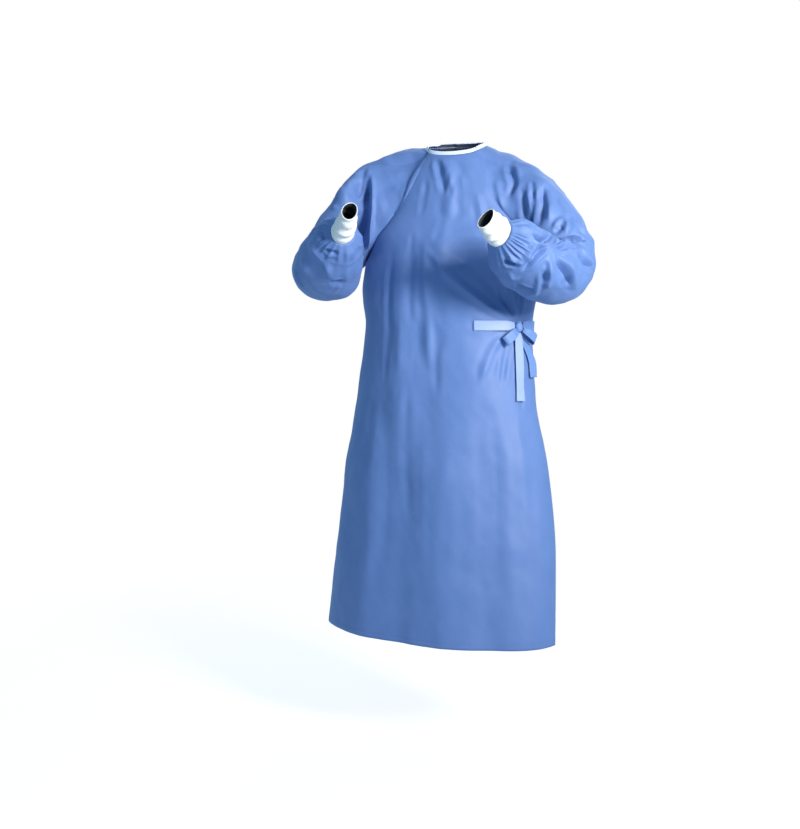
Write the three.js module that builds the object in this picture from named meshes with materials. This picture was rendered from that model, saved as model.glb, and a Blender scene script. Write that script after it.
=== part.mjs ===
// A surgical gown, as worn, with no wearer in it: front panel, wrap-over back panels, raglan sleeves with knit cuffs,
// bound neck, and a waist belt tied in a bow at the wearer's left side.
// Millimetres. +Z is up, -Y is the front of the gown, +X is the wearer's left. The origin is between the shoulders, level
// with the high side points of the neckline.
import * as THREE from "three";

const CLOTH = 1.6; // wall of the nonwoven cloth
const KNIT = 2.2; // wall of the knit cuffs
const TAPE = 1.4; // wall of the belt, which is cloth folded over and welded
const SEAM_GAP = 0.3; // between pieces that are joined at a seam
const BINDING_WIDTH = 10;
const BINDING_PROUD = 0.3; // how far the neck binding stands out from the cloth on each face
const OVERLAP_GAP = 1.4; // between the two layers of the wrap-over back
const BELT_WIDTH = 24;

const HALF_COLUMNS = 28; // columns of cloth from side seam to side seam
const BODY_STEPS = 15; // rows from hem to underarm
const YOKE_STEPS = 10; // rows from underarm to neckline, along a raglan seam
const NECK_STEPS = 4; // columns where a sleeve meets the neckline

// The body below the arms: one row for each level, with the side seams, the middle of the front and the middle of the
// back. round is the power that the front and back curve by: 0.5 is an ellipse, and less is squarer.
const BODY = [
  { z: -1212, rightX: -344, rightY: 32, leftX: 266, leftY: -88, frontY: -187, backY: 172, round: 0.58 },
  { z: -1000, rightX: -316, rightY: 26, leftX: 262, leftY: -62, frontY: -180, backY: 158, round: 0.56 },
  { z: -800, rightX: -288, rightY: 18, leftX: 240, leftY: -42, frontY: -171, backY: 142, round: 0.54 },
  { z: -620, rightX: -252, rightY: 10, leftX: 204, leftY: -24, frontY: -160, backY: 124, round: 0.5 },
  { z: -455, rightX: -230, rightY: 4, leftX: 194, leftY: -12, frontY: -148, backY: 106, round: 0.48 },
  { z: -370, rightX: -237, rightY: 2, leftX: 204, leftY: -6, frontY: -140, backY: 108, round: 0.46 },
  { z: -290, rightX: -226, rightY: 0, leftX: 210, leftY: 0, frontY: -130, backY: 112, round: 0.44, corner: true },
];

// The body above the underarm: one row for each level of the raglan seams, the same on both sides, with the middle of
// the front and of the back, which lie at levels of their own.
const YOKE = [
  { frontX: 170, frontY: -74, frontZ: -222, chestY: -125, chestZ: -226, backX: 176, backY: 70, backZ: -212, napeY: 116, napeZ: -205, round: 0.6 },
  { frontX: 112, frontY: -86, frontZ: -146, chestY: -110, chestZ: -152, backX: 124, backY: 92, backZ: -132, napeY: 113, napeZ: -122, round: 0.75 },
  { frontX: 82, frontY: -66, frontZ: -74, chestY: -86, chestZ: -84, backX: 84, backY: 76, backZ: -58, napeY: 93, napeZ: -52, round: 0.8 },
  { frontX: 60, frontY: -40, frontZ: -25, chestY: -66, chestZ: -38, backX: 54, backY: 46, backZ: -1, napeY: 64, napeZ: 2, round: 0.6 },
];
const NECK_SIDE = { x: 76, y: 2, z: -8 }; // the highest point of the cloth, in the middle of a sleeve's top edge

// The wrap-over back, as shares of the way from the right seam (-1) to the left seam (+1).
const OUTER_FLAP_EDGE = 14 / 28;
const INNER_FLAP_EDGE = -4 / 28;
const OVERLAP_RAMP_END = 22 / 28;

// Folds of the front and the back, as lines over the cloth seen from the front. A ridge has a height over 0.
const FRONT_FOLDS = [
  { fromX: -70, fromZ: -240, toX: 170, toZ: -400, width: 60, height: 8 },
  { fromX: -110, fromZ: -230, toX: -110, toZ: -760, width: 44, height: 5 },
  { fromX: -40, fromZ: -330, toX: -30, toZ: -800, width: 44, height: -5 },
  { fromX: -180, fromZ: -640, toX: -220, toZ: -1400, width: 50, height: 7 },
  { fromX: -90, fromZ: -700, toX: -110, toZ: -1400, width: 50, height: -6 },
  { fromX: 10, fromZ: -640, toX: 10, toZ: -1400, width: 50, height: 6 },
  { fromX: 100, fromZ: -560, toX: 130, toZ: -1400, width: 50, height: -6 },
];
const BACK_FOLDS = [
  { fromX: -120, fromZ: -380, toX: -170, toZ: -1400, width: 50, height: 7 },
  { fromX: -30, fromZ: -420, toX: -50, toZ: -1400, width: 50, height: -6 },
  { fromX: 70, fromZ: -460, toX: 60, toZ: -1400, width: 50, height: 6 },
];

const lerp = (a, b, t) => a + (b - a) * t;
const clamp01 = (t) => Math.min(1, Math.max(0, t));
const smooth = (t) => clamp01(t) ** 2 * (3 - 2 * clamp01(t));
const vec = (x, y, z) => new THREE.Vector3(x, y, z);

// A value between the rows of a table: a smooth curve through every row, with no overshoot. A corner row has a slope of
// its own on each side.
function alongRows(rows, column, t) {
  const last = rows.length - 1;
  const i = Math.min(Math.floor(t), last - 1);
  const value = (k) => rows[k][column];
  const slope = (k) => {
    if (k === 0 || k === last || rows[k].corner) return value(i + 1) - value(i);
    const before = value(k) - value(k - 1);
    const after = value(k + 1) - value(k);
    return before * after <= 0 ? 0 : (2 * before * after) / (before + after);
  };
  const s = t - i;
  return (
    value(i) * (1 + 2 * s) * (1 - s) ** 2 +
    slope(i) * s * (1 - s) ** 2 +
    value(i + 1) * s * s * (3 - 2 * s) +
    slope(i + 1) * s * s * (s - 1)
  );
}

// The rows of the front and of the back, from hem to neckline.
const FRONT_ROWS = [
  ...BODY.map((r) => ({ ...r, rightZ: r.z, leftZ: r.z, midY: r.frontY, midZ: r.z })),
  ...YOKE.map((r) => ({
    rightX: -r.frontX, rightY: r.frontY, rightZ: r.frontZ, leftX: r.frontX, leftY: r.frontY, leftZ: r.frontZ,
    midY: r.chestY, midZ: r.chestZ, round: r.round,
  })),
];
const BACK_ROWS = [
  ...BODY.map((r) => ({ ...r, rightZ: r.z, leftZ: r.z, midY: r.backY, midZ: r.z })),
  ...YOKE.map((r) => ({
    rightX: -r.backX, rightY: r.backY, rightZ: r.backZ, leftX: r.backX, leftY: r.backY, leftZ: r.backZ,
    midY: r.napeY, midZ: r.napeZ, round: r.round,
  })),
];
const UNDERARM = BODY.length - 1;
const NECK = FRONT_ROWS.length - 1;

// The plain form of a half of the body. u runs from the right seam (-1) to the left seam (+1), t up the rows.
function formPoint(rows, u, t) {
  const at = (column) => alongRows(rows, column, t);
  const across = Math.sin((u * Math.PI) / 2);
  const share = (1 + across) / 2;
  const room = Math.max(0, 1 - across * across);
  const y = lerp(at("rightY"), at("leftY"), share);
  const z = lerp(at("rightZ"), at("leftZ"), share);
  return vec(
    lerp(at("rightX"), at("leftX"), share),
    y + (at("midY") - (at("rightY") + at("leftY")) / 2) * room ** at("round"),
    z + (at("midZ") - (at("rightZ") + at("leftZ")) / 2) * room ** at("round"),
  );
}

// The outward normal of a surface given by a function of u and t, from small steps that stay on the surface.
const STEP = 1 / HALF_COLUMNS;
function normalOf(point, u, t, [uLow, uHigh], [tLow, tHigh], outward) {
  const du = point(Math.min(u + STEP, uHigh), t).sub(point(Math.max(u - STEP, uLow), t));
  const dt = point(u, Math.min(t + STEP, tHigh)).sub(point(u, Math.max(t - STEP, tLow)));
  return du.cross(dt).normalize().multiplyScalar(outward);
}

const FRONT_OUT = 1;
const BACK_OUT = -1;
const WHOLE = [-1, 1];
const HEIGHT = [0, NECK];
const frontForm = (u, t) => formPoint(FRONT_ROWS, u, t);
const backForm = (u, t) => formPoint(BACK_ROWS, u, t);
const frontNormal = (u, t) => normalOf(frontForm, u, t, WHOLE, HEIGHT, FRONT_OUT);
const backNormal = (u, t) => normalOf(backForm, u, t, WHOLE, HEIGHT, BACK_OUT);

// A closed wall from a grid of outer points and the inner points behind them. outer[row][column]; around is true where
// the columns close on themselves, as on a tube.
function wall(name, colour, outer, inner, around, flip) {
  const rows = outer.length;
  const columns = outer[0].length;
  const position = [];
  const index = [];
  const id = (layer, r, c) => (layer * rows + r) * columns + (c % columns);
  for (const layer of [outer, inner]) for (const row of layer) for (const p of row) position.push(p.x, p.y, p.z);
  const quad = (a, b, c, d) => (flip ? index.push(a, c, b, a, d, c) : index.push(a, b, c, a, c, d));
  const across = around ? columns : columns - 1;
  for (let r = 0; r < rows - 1; r++)
    for (let c = 0; c < across; c++) {
      quad(id(0, r, c), id(0, r, c + 1), id(0, r + 1, c + 1), id(0, r + 1, c));
      quad(id(1, r, c), id(1, r + 1, c), id(1, r + 1, c + 1), id(1, r, c + 1));
    }
  for (let c = 0; c < across; c++) {
    quad(id(0, 0, c), id(1, 0, c), id(1, 0, c + 1), id(0, 0, c + 1));
    quad(id(0, rows - 1, c), id(0, rows - 1, c + 1), id(1, rows - 1, c + 1), id(1, rows - 1, c));
  }
  if (!around)
    for (let r = 0; r < rows - 1; r++) {
      quad(id(0, r, 0), id(0, r + 1, 0), id(1, r + 1, 0), id(1, r, 0));
      quad(id(0, r, columns - 1), id(1, r, columns - 1), id(1, r + 1, columns - 1), id(0, r + 1, columns - 1));
    }
  const geometry = new THREE.BufferGeometry();
  geometry.setAttribute("position", new THREE.Float32BufferAttribute(position, 3));
  geometry.setIndex(index);
  geometry.computeVertexNormals();
  const finish = new THREE.MeshStandardMaterial({ color: colour, roughness: 0.8, metalness: 0, side: THREE.DoubleSide });
  const mesh = new THREE.Mesh(geometry, finish);
  mesh.name = name;
  return mesh;
}

const CLOTH_BLUE = 0x5b7dc9;
const BELT_BLUE = 0x9db4e6;
const KNIT_WHITE = 0xf2f2f0;
const BINDING_WHITE = 0xe4e9f5;

// Row levels of a panel: even steps from hem to underarm, then even steps up the raglan seam.
const ROW_LEVELS = [
  ...Array.from({ length: BODY_STEPS }, (_, k) => (UNDERARM * k) / BODY_STEPS),
  ...Array.from({ length: YOKE_STEPS + 1 }, (_, k) => UNDERARM + ((NECK - UNDERARM) * k) / YOKE_STEPS),
];

// A panel between two of the column lines that the whole half is divided into.
function panel(name, point, normal, from, to, out) {
  const outer = [];
  const inner = [];
  for (const t of ROW_LEVELS) {
    const outerRow = [];
    const innerRow = [];
    for (let k = Math.round(((from + 1) * HALF_COLUMNS) / 2); k <= Math.round(((to + 1) * HALF_COLUMNS) / 2); k++) {
      const u = (2 * k) / HALF_COLUMNS - 1;
      const onSeam = Math.abs(u) > 1 - 1e-9;
      const n = onSeam && t < UNDERARM + 1e-9 ? seamNormal(u, t) : normal(u, t);
      const p = point(u, t);
      if (onSeam) p.addScaledVector(seamWay(point, u, t), -SEAM_GAP / 2);
      outerRow.push(p);
      innerRow.push(p.clone().addScaledVector(n, -CLOTH));
    }
    outer.push(outerRow);
    inner.push(innerRow);
  }
  return wall(name, CLOTH_BLUE, outer, inner, false, out < 0);
}

// The normal that the front and the back share on a side seam.
const seamNormal = (u, t) => frontNormal(u, t).add(backNormal(u, t)).normalize();

// The direction in which a panel would go on past its seam.
function seamWay(point, u, t) {
  const side = Math.sign(u);
  return point(u, t).sub(point(u - side * STEP, t)).normalize();
}

// The inner layer of the back runs inside the outer one.
const layerDrop = (u) => (CLOTH + OVERLAP_GAP) * smooth((OVERLAP_RAMP_END - u) / (OVERLAP_RAMP_END - OUTER_FLAP_EDGE));

// How far the folds raise the cloth at a point. A fold fades out over a quarter of its length at each end.
function relief(folds, { x, z }) {
  let height = 0;
  for (const f of folds) {
    const [runX, runZ] = [f.toX - f.fromX, f.toZ - f.fromZ];
    const share = clamp01(((x - f.fromX) * runX + (z - f.fromZ) * runZ) / (runX ** 2 + runZ ** 2));
    const off = Math.hypot(x - f.fromX - share * runX, z - f.fromZ - share * runZ);
    height += f.height * Math.exp(-2 * (off / f.width) ** 2) * smooth(4 * Math.min(share, 1 - share));
  }
  return height;
}
const awayFromSeam = (u) => smooth((1 - Math.abs(u)) * 5);
const frontPoint = (u, t) => {
  const p = frontForm(u, t);
  return p.addScaledVector(frontNormal(u, t), relief(FRONT_FOLDS, p) * awayFromSeam(u));
};
const outerBackPoint = (u, t) => {
  const p = backForm(u, t);
  return p.addScaledVector(backNormal(u, t), relief(BACK_FOLDS, p) * awayFromSeam(u));
};
const innerBackPoint = (u, t) => outerBackPoint(u, t).addScaledVector(backNormal(u, t), -layerDrop(u));

// Arms. The sleeve goes from its raglan seam over the shoulder ring to a round tube, which starts part of the way down
// the upper arm, turns in a fan about the inside of the elbow, and ends in gathers at the cuff. Each row of tube is a
// station, as a share of the way from the tube's start to the wrist, with the half widths towards the top of the arm, the
// underarm, the inside of the elbow and the outside of it.
const ARMS = [
  {
    name: "right", side: -1, slope: -0.05,
    shoulder: vec(-172, -14, -104), elbow: vec(-316, -138, -322), wrist: vec(-186, -334, -244), cuffEnd: vec(-151, -394, -204), broad: vec(0.25, 0.63, 0.73),
    ring: { centre: vec(-218, -16, -178), top: vec(-248, -18, -60), front: vec(-208, -98, -166), under: vec(-240, -30, -308), back: vec(-226, 68, -168) },
    tube: [
      { at: 0, top: 78, under: 60, inside: 66, outside: 80 },
      { at: 0.25, top: 68, under: 88, inside: 50, outside: 80 },
      { at: 0.45, top: 66, under: 98, inside: 47, outside: 84 },
      { at: 0.65, top: 63, under: 88, inside: 56, outside: 80 },
      { at: 0.86, top: 56, under: 62, inside: 52, outside: 58 },
      { at: 0.95, top: 45, under: 47, inside: 43, outside: 46 },
      { at: 1, top: 28.8, under: 28.8, inside: 33.2, outside: 33.2 },
    ],
  },
  {
    name: "left", side: 1, slope: 0.42,
    shoulder: vec(172, -14, -112), elbow: vec(300, -112, -346), wrist: vec(168, -304, -255), cuffEnd: vec(144, -356, -224), broad: vec(0.58, 0.2, 0.79),
    ring: { centre: vec(212, -16, -180), top: vec(226, -18, -88), front: vec(204, -98, -166), under: vec(240, -36, -306), back: vec(222, 68, -168) },
    tube: [
      { at: 0, top: 86, under: 64, inside: 66, outside: 82 },
      { at: 0.25, top: 76, under: 82, inside: 50, outside: 75 },
      { at: 0.45, top: 70, under: 94, inside: 47, outside: 74 },
      { at: 0.65, top: 64, under: 94, inside: 56, outside: 72 },
      { at: 0.86, top: 56, under: 76, inside: 52, outside: 60 },
      { at: 0.95, top: 45, under: 52, inside: 43, outside: 47 },
      { at: 1, top: 33, under: 33, inside: 31.6, outside: 31.8 },
    ],
  },
];
const TUBE_START = 0.72; // share of the upper arm where the round tube starts
const BEND_RADIUS = 56; // of the sleeve's centre line at the elbow
const CAP_STEPS = 8; // rings from the raglan seam to the tube
const TUBE_STEPS = 15; // rings along the tube

// The centre line of a tube: straight, then an arc about the inside of the elbow, then straight.
function armLine(arm) {
  const upper = arm.elbow.clone().sub(arm.shoulder).normalize();
  const lower = arm.wrist.clone().sub(arm.elbow).normalize();
  const bend = upper.angleTo(lower);
  const axis = upper.clone().cross(lower).normalize();
  const setBack = BEND_RADIUS * Math.tan(bend / 2);
  const start = arm.shoulder.clone().lerp(arm.elbow, TUBE_START);
  const bendStart = arm.elbow.clone().addScaledVector(upper, -setBack);
  const bendEnd = arm.elbow.clone().addScaledVector(lower, setBack);
  const first = start.distanceTo(bendStart);
  const arc = BEND_RADIUS * bend;
  const last = bendEnd.distanceTo(arm.wrist);
  const total = first + arc + last;
  const pivot = bendStart.clone().addScaledVector(axis.clone().cross(upper), BEND_RADIUS);
  return (share) => {
    const s = share * total;
    const turned = clamp01((s - first) / arc) * bend;
    const along = upper.clone().applyAxisAngle(axis, turned);
    const inside = axis.clone().cross(along).normalize();
    let centre;
    if (s < first) centre = start.clone().addScaledVector(upper, s);
    else if (s > first + arc) centre = bendEnd.clone().addScaledVector(lower, s - first - arc);
    else centre = pivot.clone().addScaledVector(inside, -BEND_RADIUS);
    return { centre, along, inside, top: axis.clone().multiplyScalar(-arm.side) };
  };
}

// A half width of the tube at a share of the way along it.
function tubeWidth(rows, column, share) {
  const i = Math.max(0, rows.findLastIndex((row, k) => row.at <= share && k < rows.length - 1));
  return alongRows(rows, column, i + (share - rows[i].at) / (rows[i + 1].at - rows[i].at));
}

// The gathers where the sleeve is sewn to the cuff.
const GATHERS = { count: 6, depth: 3, from: 0.84, peak: 0.95 };
function gather(turn, share) {
  const rise = smooth((share - GATHERS.from) / (GATHERS.peak - GATHERS.from));
  const fall = 1 - 0.8 * smooth((share - GATHERS.peak) / (1 - GATHERS.peak));
  return GATHERS.depth * Math.cos(turn * 2 * Math.PI * GATHERS.count) * rise * fall;
}

// A point of the sleeve's tube. turn goes once round: 0 is the underarm, 1/4 the inside of the elbow, 1/2 the top.
function tubePoint(arm, line, turn, share) {
  const { centre, inside, top } = line(share);
  const c = -Math.cos(turn * 2 * Math.PI);
  const s = Math.sin(turn * 2 * Math.PI);
  return centre
    .clone()
    .addScaledVector(top, c * (tubeWidth(arm.tube, c > 0 ? "top" : "under", share) + gather(turn, share)))
    .addScaledVector(inside, s * (tubeWidth(arm.tube, s > 0 ? "inside" : "outside", share) + gather(turn, share)));
}

// A point of the sleeve's widest ring, round the shoulder.
function shoulderPoint({ centre, top, front, under, back }, turn) {
  const c = -Math.cos(turn * 2 * Math.PI);
  const s = Math.sin(turn * 2 * Math.PI);
  const upright = (c > 0 ? top : under).clone().sub(centre).multiplyScalar(Math.abs(c));
  const level = (s > 0 ? front : back).clone().sub(centre).multiplyScalar(Math.abs(s));
  return centre.clone().add(upright).add(level);
}

// A cubic curve between two points with a direction at each.
const cubic = (from, leaving, to, arriving, t) =>
  from
    .clone()
    .multiplyScalar((1 + 2 * t) * (1 - t) ** 2)
    .addScaledVector(leaving, t * (1 - t) ** 2)
    .addScaledVector(to, t * t * (3 - 2 * t))
    .addScaledVector(arriving, t * t * (t - 1));

// The raglan seam as a closed ring: up the front seam, over the neckline, and down the back seam. Each vertex has its
// place and the way that the body's cloth would go on past the seam.
function seamRing(arm) {
  const { side } = arm;
  const ring = [];
  const top = vec(side * NECK_SIDE.x, NECK_SIDE.y, NECK_SIDE.z);
  const frontNeck = frontForm(side, NECK);
  const backNeck = backForm(side, NECK);
  const middle = top.clone().multiplyScalar(2).sub(frontNeck.clone().add(backNeck).multiplyScalar(0.5));
  const neckline = new THREE.QuadraticBezierCurve3(frontNeck, middle, backNeck);
  const seam = (form, normal, k) => {
    const t = lerp(UNDERARM, NECK, k / YOKE_STEPS);
    ring.push({ p: form(side, t), n: normal(side, t), way: seamWay(form, side, t), up: k / YOKE_STEPS });
  };
  for (let k = 0; k <= YOKE_STEPS; k++) seam(frontForm, frontNormal, k);
  for (let k = 1; k < NECK_STEPS; k++) {
    const p = neckline.getPoint(k / NECK_STEPS);
    const n = vec(side * arm.slope, 0, 1).normalize();
    ring.push({ p, n, way: vec(side, 0, -arm.slope).normalize(), up: 1 });
  }
  for (let k = YOKE_STEPS; k > 0; k--) seam(backForm, backNormal, k);
  return ring;
}

// The share of the way round the arm's tube for each vertex of the seam ring.
function turnsOf(ring) {
  const lengths = ring.map((v, k) => v.p.distanceTo(ring[(k + 1) % ring.length].p));
  const half = YOKE_STEPS + NECK_STEPS / 2;
  const sum = (from, to) => lengths.slice(from, to).reduce((a, b) => a + b, 0);
  return ring.map((_, k) => (k <= half ? (0.5 * sum(0, k)) / sum(0, half) : 0.5 + (0.5 * sum(half, k)) / sum(half, ring.length)));
}

// How far the underarm's columns of cloth swing back round the arm, as a share of a turn. The top's stay where they are.
const SWING = 0.18;
const swung = (turn, share) => turn - share * SWING * Math.cos(turn * Math.PI) ** 2;

function sleeve(arm) {
  const line = armLine(arm);
  const ring = seamRing(arm);
  const turns = turnsOf(ring);
  const even = ring.map((_, k) => k / ring.length);
  const tubeWay = line(0).along;
  const point = (k, t) => {
    if (t >= 1) return tubePoint(arm, line, swung(lerp(turns[k], even[k], smooth((t - 1) * 2)), 1), t - 1);
    const { p, n, up } = ring[k];
    const crown = shoulderPoint(arm.ring, swung(turns[k], 0.4));
    const end = tubePoint(arm, line, swung(turns[k], 1), 0);
    const leave = crown.clone().sub(p).normalize();
    leave.addScaledVector(n, -n.dot(leave) * smooth(up * 2.2)).normalize();
    const start = p.clone().addScaledVector(leave, SEAM_GAP / 2);
    const through = end.clone().sub(start).multiplyScalar(0.5);
    if (t < 0.5) return cubic(start, leave.multiplyScalar(start.distanceTo(crown)), crown, through, 2 * t);
    return cubic(crown, through, end, tubeWay.clone().multiplyScalar(end.clone().sub(crown).dot(tubeWay)), 2 * t - 1);
  };
  const stations = [
    ...Array.from({ length: CAP_STEPS }, (_, k) => k / CAP_STEPS),
    ...Array.from({ length: TUBE_STEPS + 1 }, (_, k) => 1 + k / TUBE_STEPS),
  ];
  const outer = stations.map((t) => ring.map((_, k) => point(k, t)));
  const inner = outer.map((row, r) =>
    row.map((p, k) => {
      const around = row[(k + 1) % row.length].clone().sub(row[(k + row.length - 1) % row.length]);
      const along = outer[Math.min(r + 1, outer.length - 1)][k].clone().sub(outer[Math.max(r - 1, 0)][k]);
      const inward = around.clone().cross(along).normalize().multiplyScalar(arm.side);
      if (r === 0) keepBeyondSeam(inward, k === 0 ? vec(0, 0, 1) : ring[k].way, around.normalize());
      return p.clone().addScaledVector(inward, CLOTH);
    }),
  );
  return wall(`sleeve_${arm.name}`, CLOTH_BLUE, outer, inner, true, arm.side > 0);
}

// Turns the direction through the wall at a seam, so that the wall's edge stays on its own side of the seam.
function keepBeyondSeam(inward, way, edge) {
  const beyond = way.clone().addScaledVector(edge, -way.dot(edge)).normalize();
  const short = Math.min(0, inward.dot(beyond));
  inward.addScaledVector(beyond, -short).normalize();
}

// The knit cuffs, which are oval, with their broad way turned as the wrist is. Each row is a station, as a share of the
// way from inside the sleeve's end to the cuff's end, with its two half widths.
const CUFF = [
  { at: 0, broad: 29.6, narrow: 25 },
  { at: 0.12, broad: 30.2, narrow: 25.4 },
  { at: 0.26, broad: 30, narrow: 25 },
  { at: 0.38, broad: 30.6, narrow: 24.6 },
  { at: 0.5, broad: 27.6, narrow: 21.8 },
  { at: 0.62, broad: 28, narrow: 22 },
  { at: 0.76, broad: 26, narrow: 19 },
  { at: 1, broad: 24.8, narrow: 17 },
];
const CUFF_TUCK = 5; // how far the cuff goes into the sleeve
const CUFF_SEGMENTS = 22;
const CUFF_STEPS = 9;

function cuff(arm) {
  const way = arm.cuffEnd.clone().sub(arm.wrist).normalize();
  const start = arm.wrist.clone().addScaledVector(way, -CUFF_TUCK);
  const length = start.distanceTo(arm.cuffEnd);
  const broadly = arm.broad.clone().addScaledVector(way, -way.dot(arm.broad)).normalize();
  const narrowly = broadly.clone().cross(way);
  const ringsOf = (less) =>
    Array.from({ length: CUFF_STEPS + 1 }, (_, r) => {
      const share = r / CUFF_STEPS;
      return Array.from({ length: CUFF_SEGMENTS }, (_, k) => {
        const angle = (2 * Math.PI * k) / CUFF_SEGMENTS;
        return start
          .clone()
          .addScaledVector(way, share * length)
          .addScaledVector(broadly, (tubeWidth(CUFF, "broad", share) - less) * Math.cos(angle))
          .addScaledVector(narrowly, (tubeWidth(CUFF, "narrow", share) - less) * Math.sin(angle));
      });
    });
  return wall(`cuff_${arm.name}`, KNIT_WHITE, ringsOf(0), ringsOf(KNIT), true, true);
}

// The neck binding: one strip that runs from the inner flap, round the neck, to the outer flap. It goes on upwards from
// the cloth's edge, turned towards upright.
function neckBinding() {
  const edge = [];
  const add = (p, below, n) => {
    const up = p.clone().sub(below).normalize().add(vec(0, 0, 0.8)).normalize();
    edge.push({ p, up, n: n.clone().addScaledVector(up, -n.dot(up)).normalize() });
  };
  const half = (point, normal, from, to) => {
    const first = Math.round(((from + 1) * HALF_COLUMNS) / 2);
    const last = Math.round(((to + 1) * HALF_COLUMNS) / 2);
    const step = Math.sign(last - first);
    for (let k = first; k !== last + step; k += step) {
      const u = (2 * k) / HALF_COLUMNS - 1;
      add(point(u, NECK), point(u, NECK - STEP), normal(u, NECK));
    }
  };
  const overSleeve = (arm, order) => {
    const ring = seamRing(arm);
    for (const k of order) {
      const { p, way } = ring[YOKE_STEPS + k];
      add(p, p.clone().add(way), vec(arm.side, p.y / NECK_SIDE.x, 0.4).normalize());
    }
  };
  const [right, left] = ARMS;
  half(innerBackPoint, backNormal, INNER_FLAP_EDGE, 1);
  overSleeve(left, [3, 2, 1]);
  half(frontPoint, frontNormal, 1, -1);
  overSleeve(right, [1, 2, 3]);
  half(outerBackPoint, backNormal, -1, OUTER_FLAP_EDGE);
  const layer = (off) =>
    [SEAM_GAP, BINDING_WIDTH / 2, BINDING_WIDTH].map((rise) =>
      edge.map(({ p, up, n }) => p.clone().addScaledVector(up, rise).addScaledVector(n, off)),
    );
  return wall("neck_binding", BINDING_WHITE, layer(BINDING_PROUD), layer(-CLOTH - BINDING_PROUD), false, true);
}

// The waist. Places on it have a share of the way round, w: -1 to 1 over the front from the right seam to the left one,
// and on over the back from 1 at the left seam.
function rowLevel(z) {
  let [low, high] = [0, UNDERARM];
  for (let k = 0; k < 40; k++) {
    const t = (low + high) / 2;
    if (alongRows(BODY, "z", t) < z) low = t;
    else high = t;
  }
  return low;
}
const waistPoint = (w, z) => (w <= 1 ? frontPoint(w, rowLevel(z)) : outerBackPoint(2 - w, rowLevel(z)));
function waistFrame(w, z) {
  const p = waistPoint(w, z);
  const across = waistPoint(w + 0.03, z).sub(waistPoint(w - 0.03, z)).normalize();
  const up = waistPoint(w, z + 5).sub(waistPoint(w, z - 5)).normalize();
  return { p, across, up, n: across.clone().cross(up).normalize() };
}

// A length of belt. Each row is a place on the waist with the height of the belt's middle over the cloth, the turn of
// its width from level (90 is upright) and the tilt of its width out from the cloth, in degrees, and the share of its
// full width that shows where it is drawn together.
function band(name, rows, steps) {
  const place = (k) => {
    const t = (k / steps) * (rows.length - 1);
    const at = (column) => alongRows(rows, column, Math.min(Math.max(t, 0), rows.length - 1));
    const { p, across, up, n } = waistFrame(at("w"), at("z"));
    const [turn, tilt] = [at("turn"), at("tilt")].map(THREE.MathUtils.degToRad);
    return {
      centre: p.addScaledVector(n, at("lift")),
      width: BELT_WIDTH * at("share"),
      wide: across
        .multiplyScalar(Math.cos(turn) * Math.cos(tilt))
        .addScaledVector(up, Math.sin(turn) * Math.cos(tilt))
        .addScaledVector(n, Math.sin(tilt)),
    };
  };
  const stations = Array.from({ length: steps + 1 }, (_, k) => {
    const { centre, wide, width } = place(k);
    const along = place(Math.min(k + 1, steps)).centre.sub(place(Math.max(k - 1, 0)).centre).normalize();
    wide.addScaledVector(along, -wide.dot(along)).normalize();
    return { centre, wide, width, face: along.clone().cross(wide).normalize() };
  });
  const layer = (off) =>
    [-0.5, 0, 0.5].map((share) =>
      stations.map(({ centre, wide, width, face }) => centre.clone().addScaledVector(wide, share * width).addScaledVector(face, off)),
    );
  return wall(name, BELT_BLUE, layer(TAPE / 2), layer(-TAPE / 2), false, false);
}

const ON_CLOTH = 1 + TAPE / 2; // height of the middle of a belt that lies on the cloth
const KNOT = { w: 0.674, z: -453, lift: 9.2, wide: 11, high: 13, deep: 9 };
const FRONT_TIE = [
  { w: 0.285, z: -450, lift: ON_CLOTH, turn: 90, tilt: 0, share: 1 },
  { w: 0.45, z: -450, lift: ON_CLOTH + 0.6, turn: 90, tilt: 0, share: 1 },
  { w: 0.56, z: -450, lift: ON_CLOTH + 2, turn: 90, tilt: 0, share: 1 },
  { w: 0.628, z: -450, lift: 9, turn: 90, tilt: 0, share: 0.55 },
];
const SIDE_TIE = [
  { w: 0.721, z: -448, lift: 9.2, turn: 90, tilt: 0, share: 0.5 },
  { w: 0.82, z: -448, lift: ON_CLOTH + 2, turn: 90, tilt: 0, share: 0.9 },
  { w: 1, z: -449, lift: ON_CLOTH + 1, turn: 90, tilt: 0, share: 1 },
  { w: 1.25, z: -453, lift: ON_CLOTH + 0.8, turn: 90, tilt: 0, share: 1 },
  { w: 1.56, z: -456, lift: ON_CLOTH + 0.6, turn: 90, tilt: 0, share: 1 },
];
const LOOP_FRONT = [
  { w: 0.6475, z: -460.8, lift: 13.6, turn: 130, tilt: 0, share: 0.45 },
  { w: 0.6, z: -472, lift: 20, turn: 130, tilt: 0, share: 0.9 },
  { w: 0.552, z: -484, lift: 20, turn: 130, tilt: 0, share: 1 },
  { w: 0.53, z: -490, lift: 14, turn: 130, tilt: 0, share: 1 },
  { w: 0.55, z: -485, lift: 8.5, turn: 130, tilt: 0, share: 1 },
  { w: 0.6, z: -473, lift: 7.5, turn: 130, tilt: 0, share: 0.9 },
  { w: 0.643, z: -462.2, lift: 7.5, turn: 130, tilt: 0, share: 0.45 },
];
const LOOP_SIDE = [
  { w: 0.709, z: -460, lift: 14, turn: 50, tilt: 0, share: 0.45 },
  { w: 0.77, z: -470, lift: 21, turn: 50, tilt: 0, share: 0.9 },
  { w: 0.835, z: -480, lift: 22, turn: 50, tilt: 0, share: 1 },
  { w: 0.865, z: -486, lift: 16, turn: 50, tilt: 0, share: 1 },
  { w: 0.84, z: -483, lift: 10, turn: 50, tilt: 0, share: 1 },
  { w: 0.77, z: -472, lift: 8, turn: 50, tilt: 0, share: 0.9 },
  { w: 0.713, z: -461.5, lift: 7.5, turn: 50, tilt: 0, share: 0.45 },
];
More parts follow.
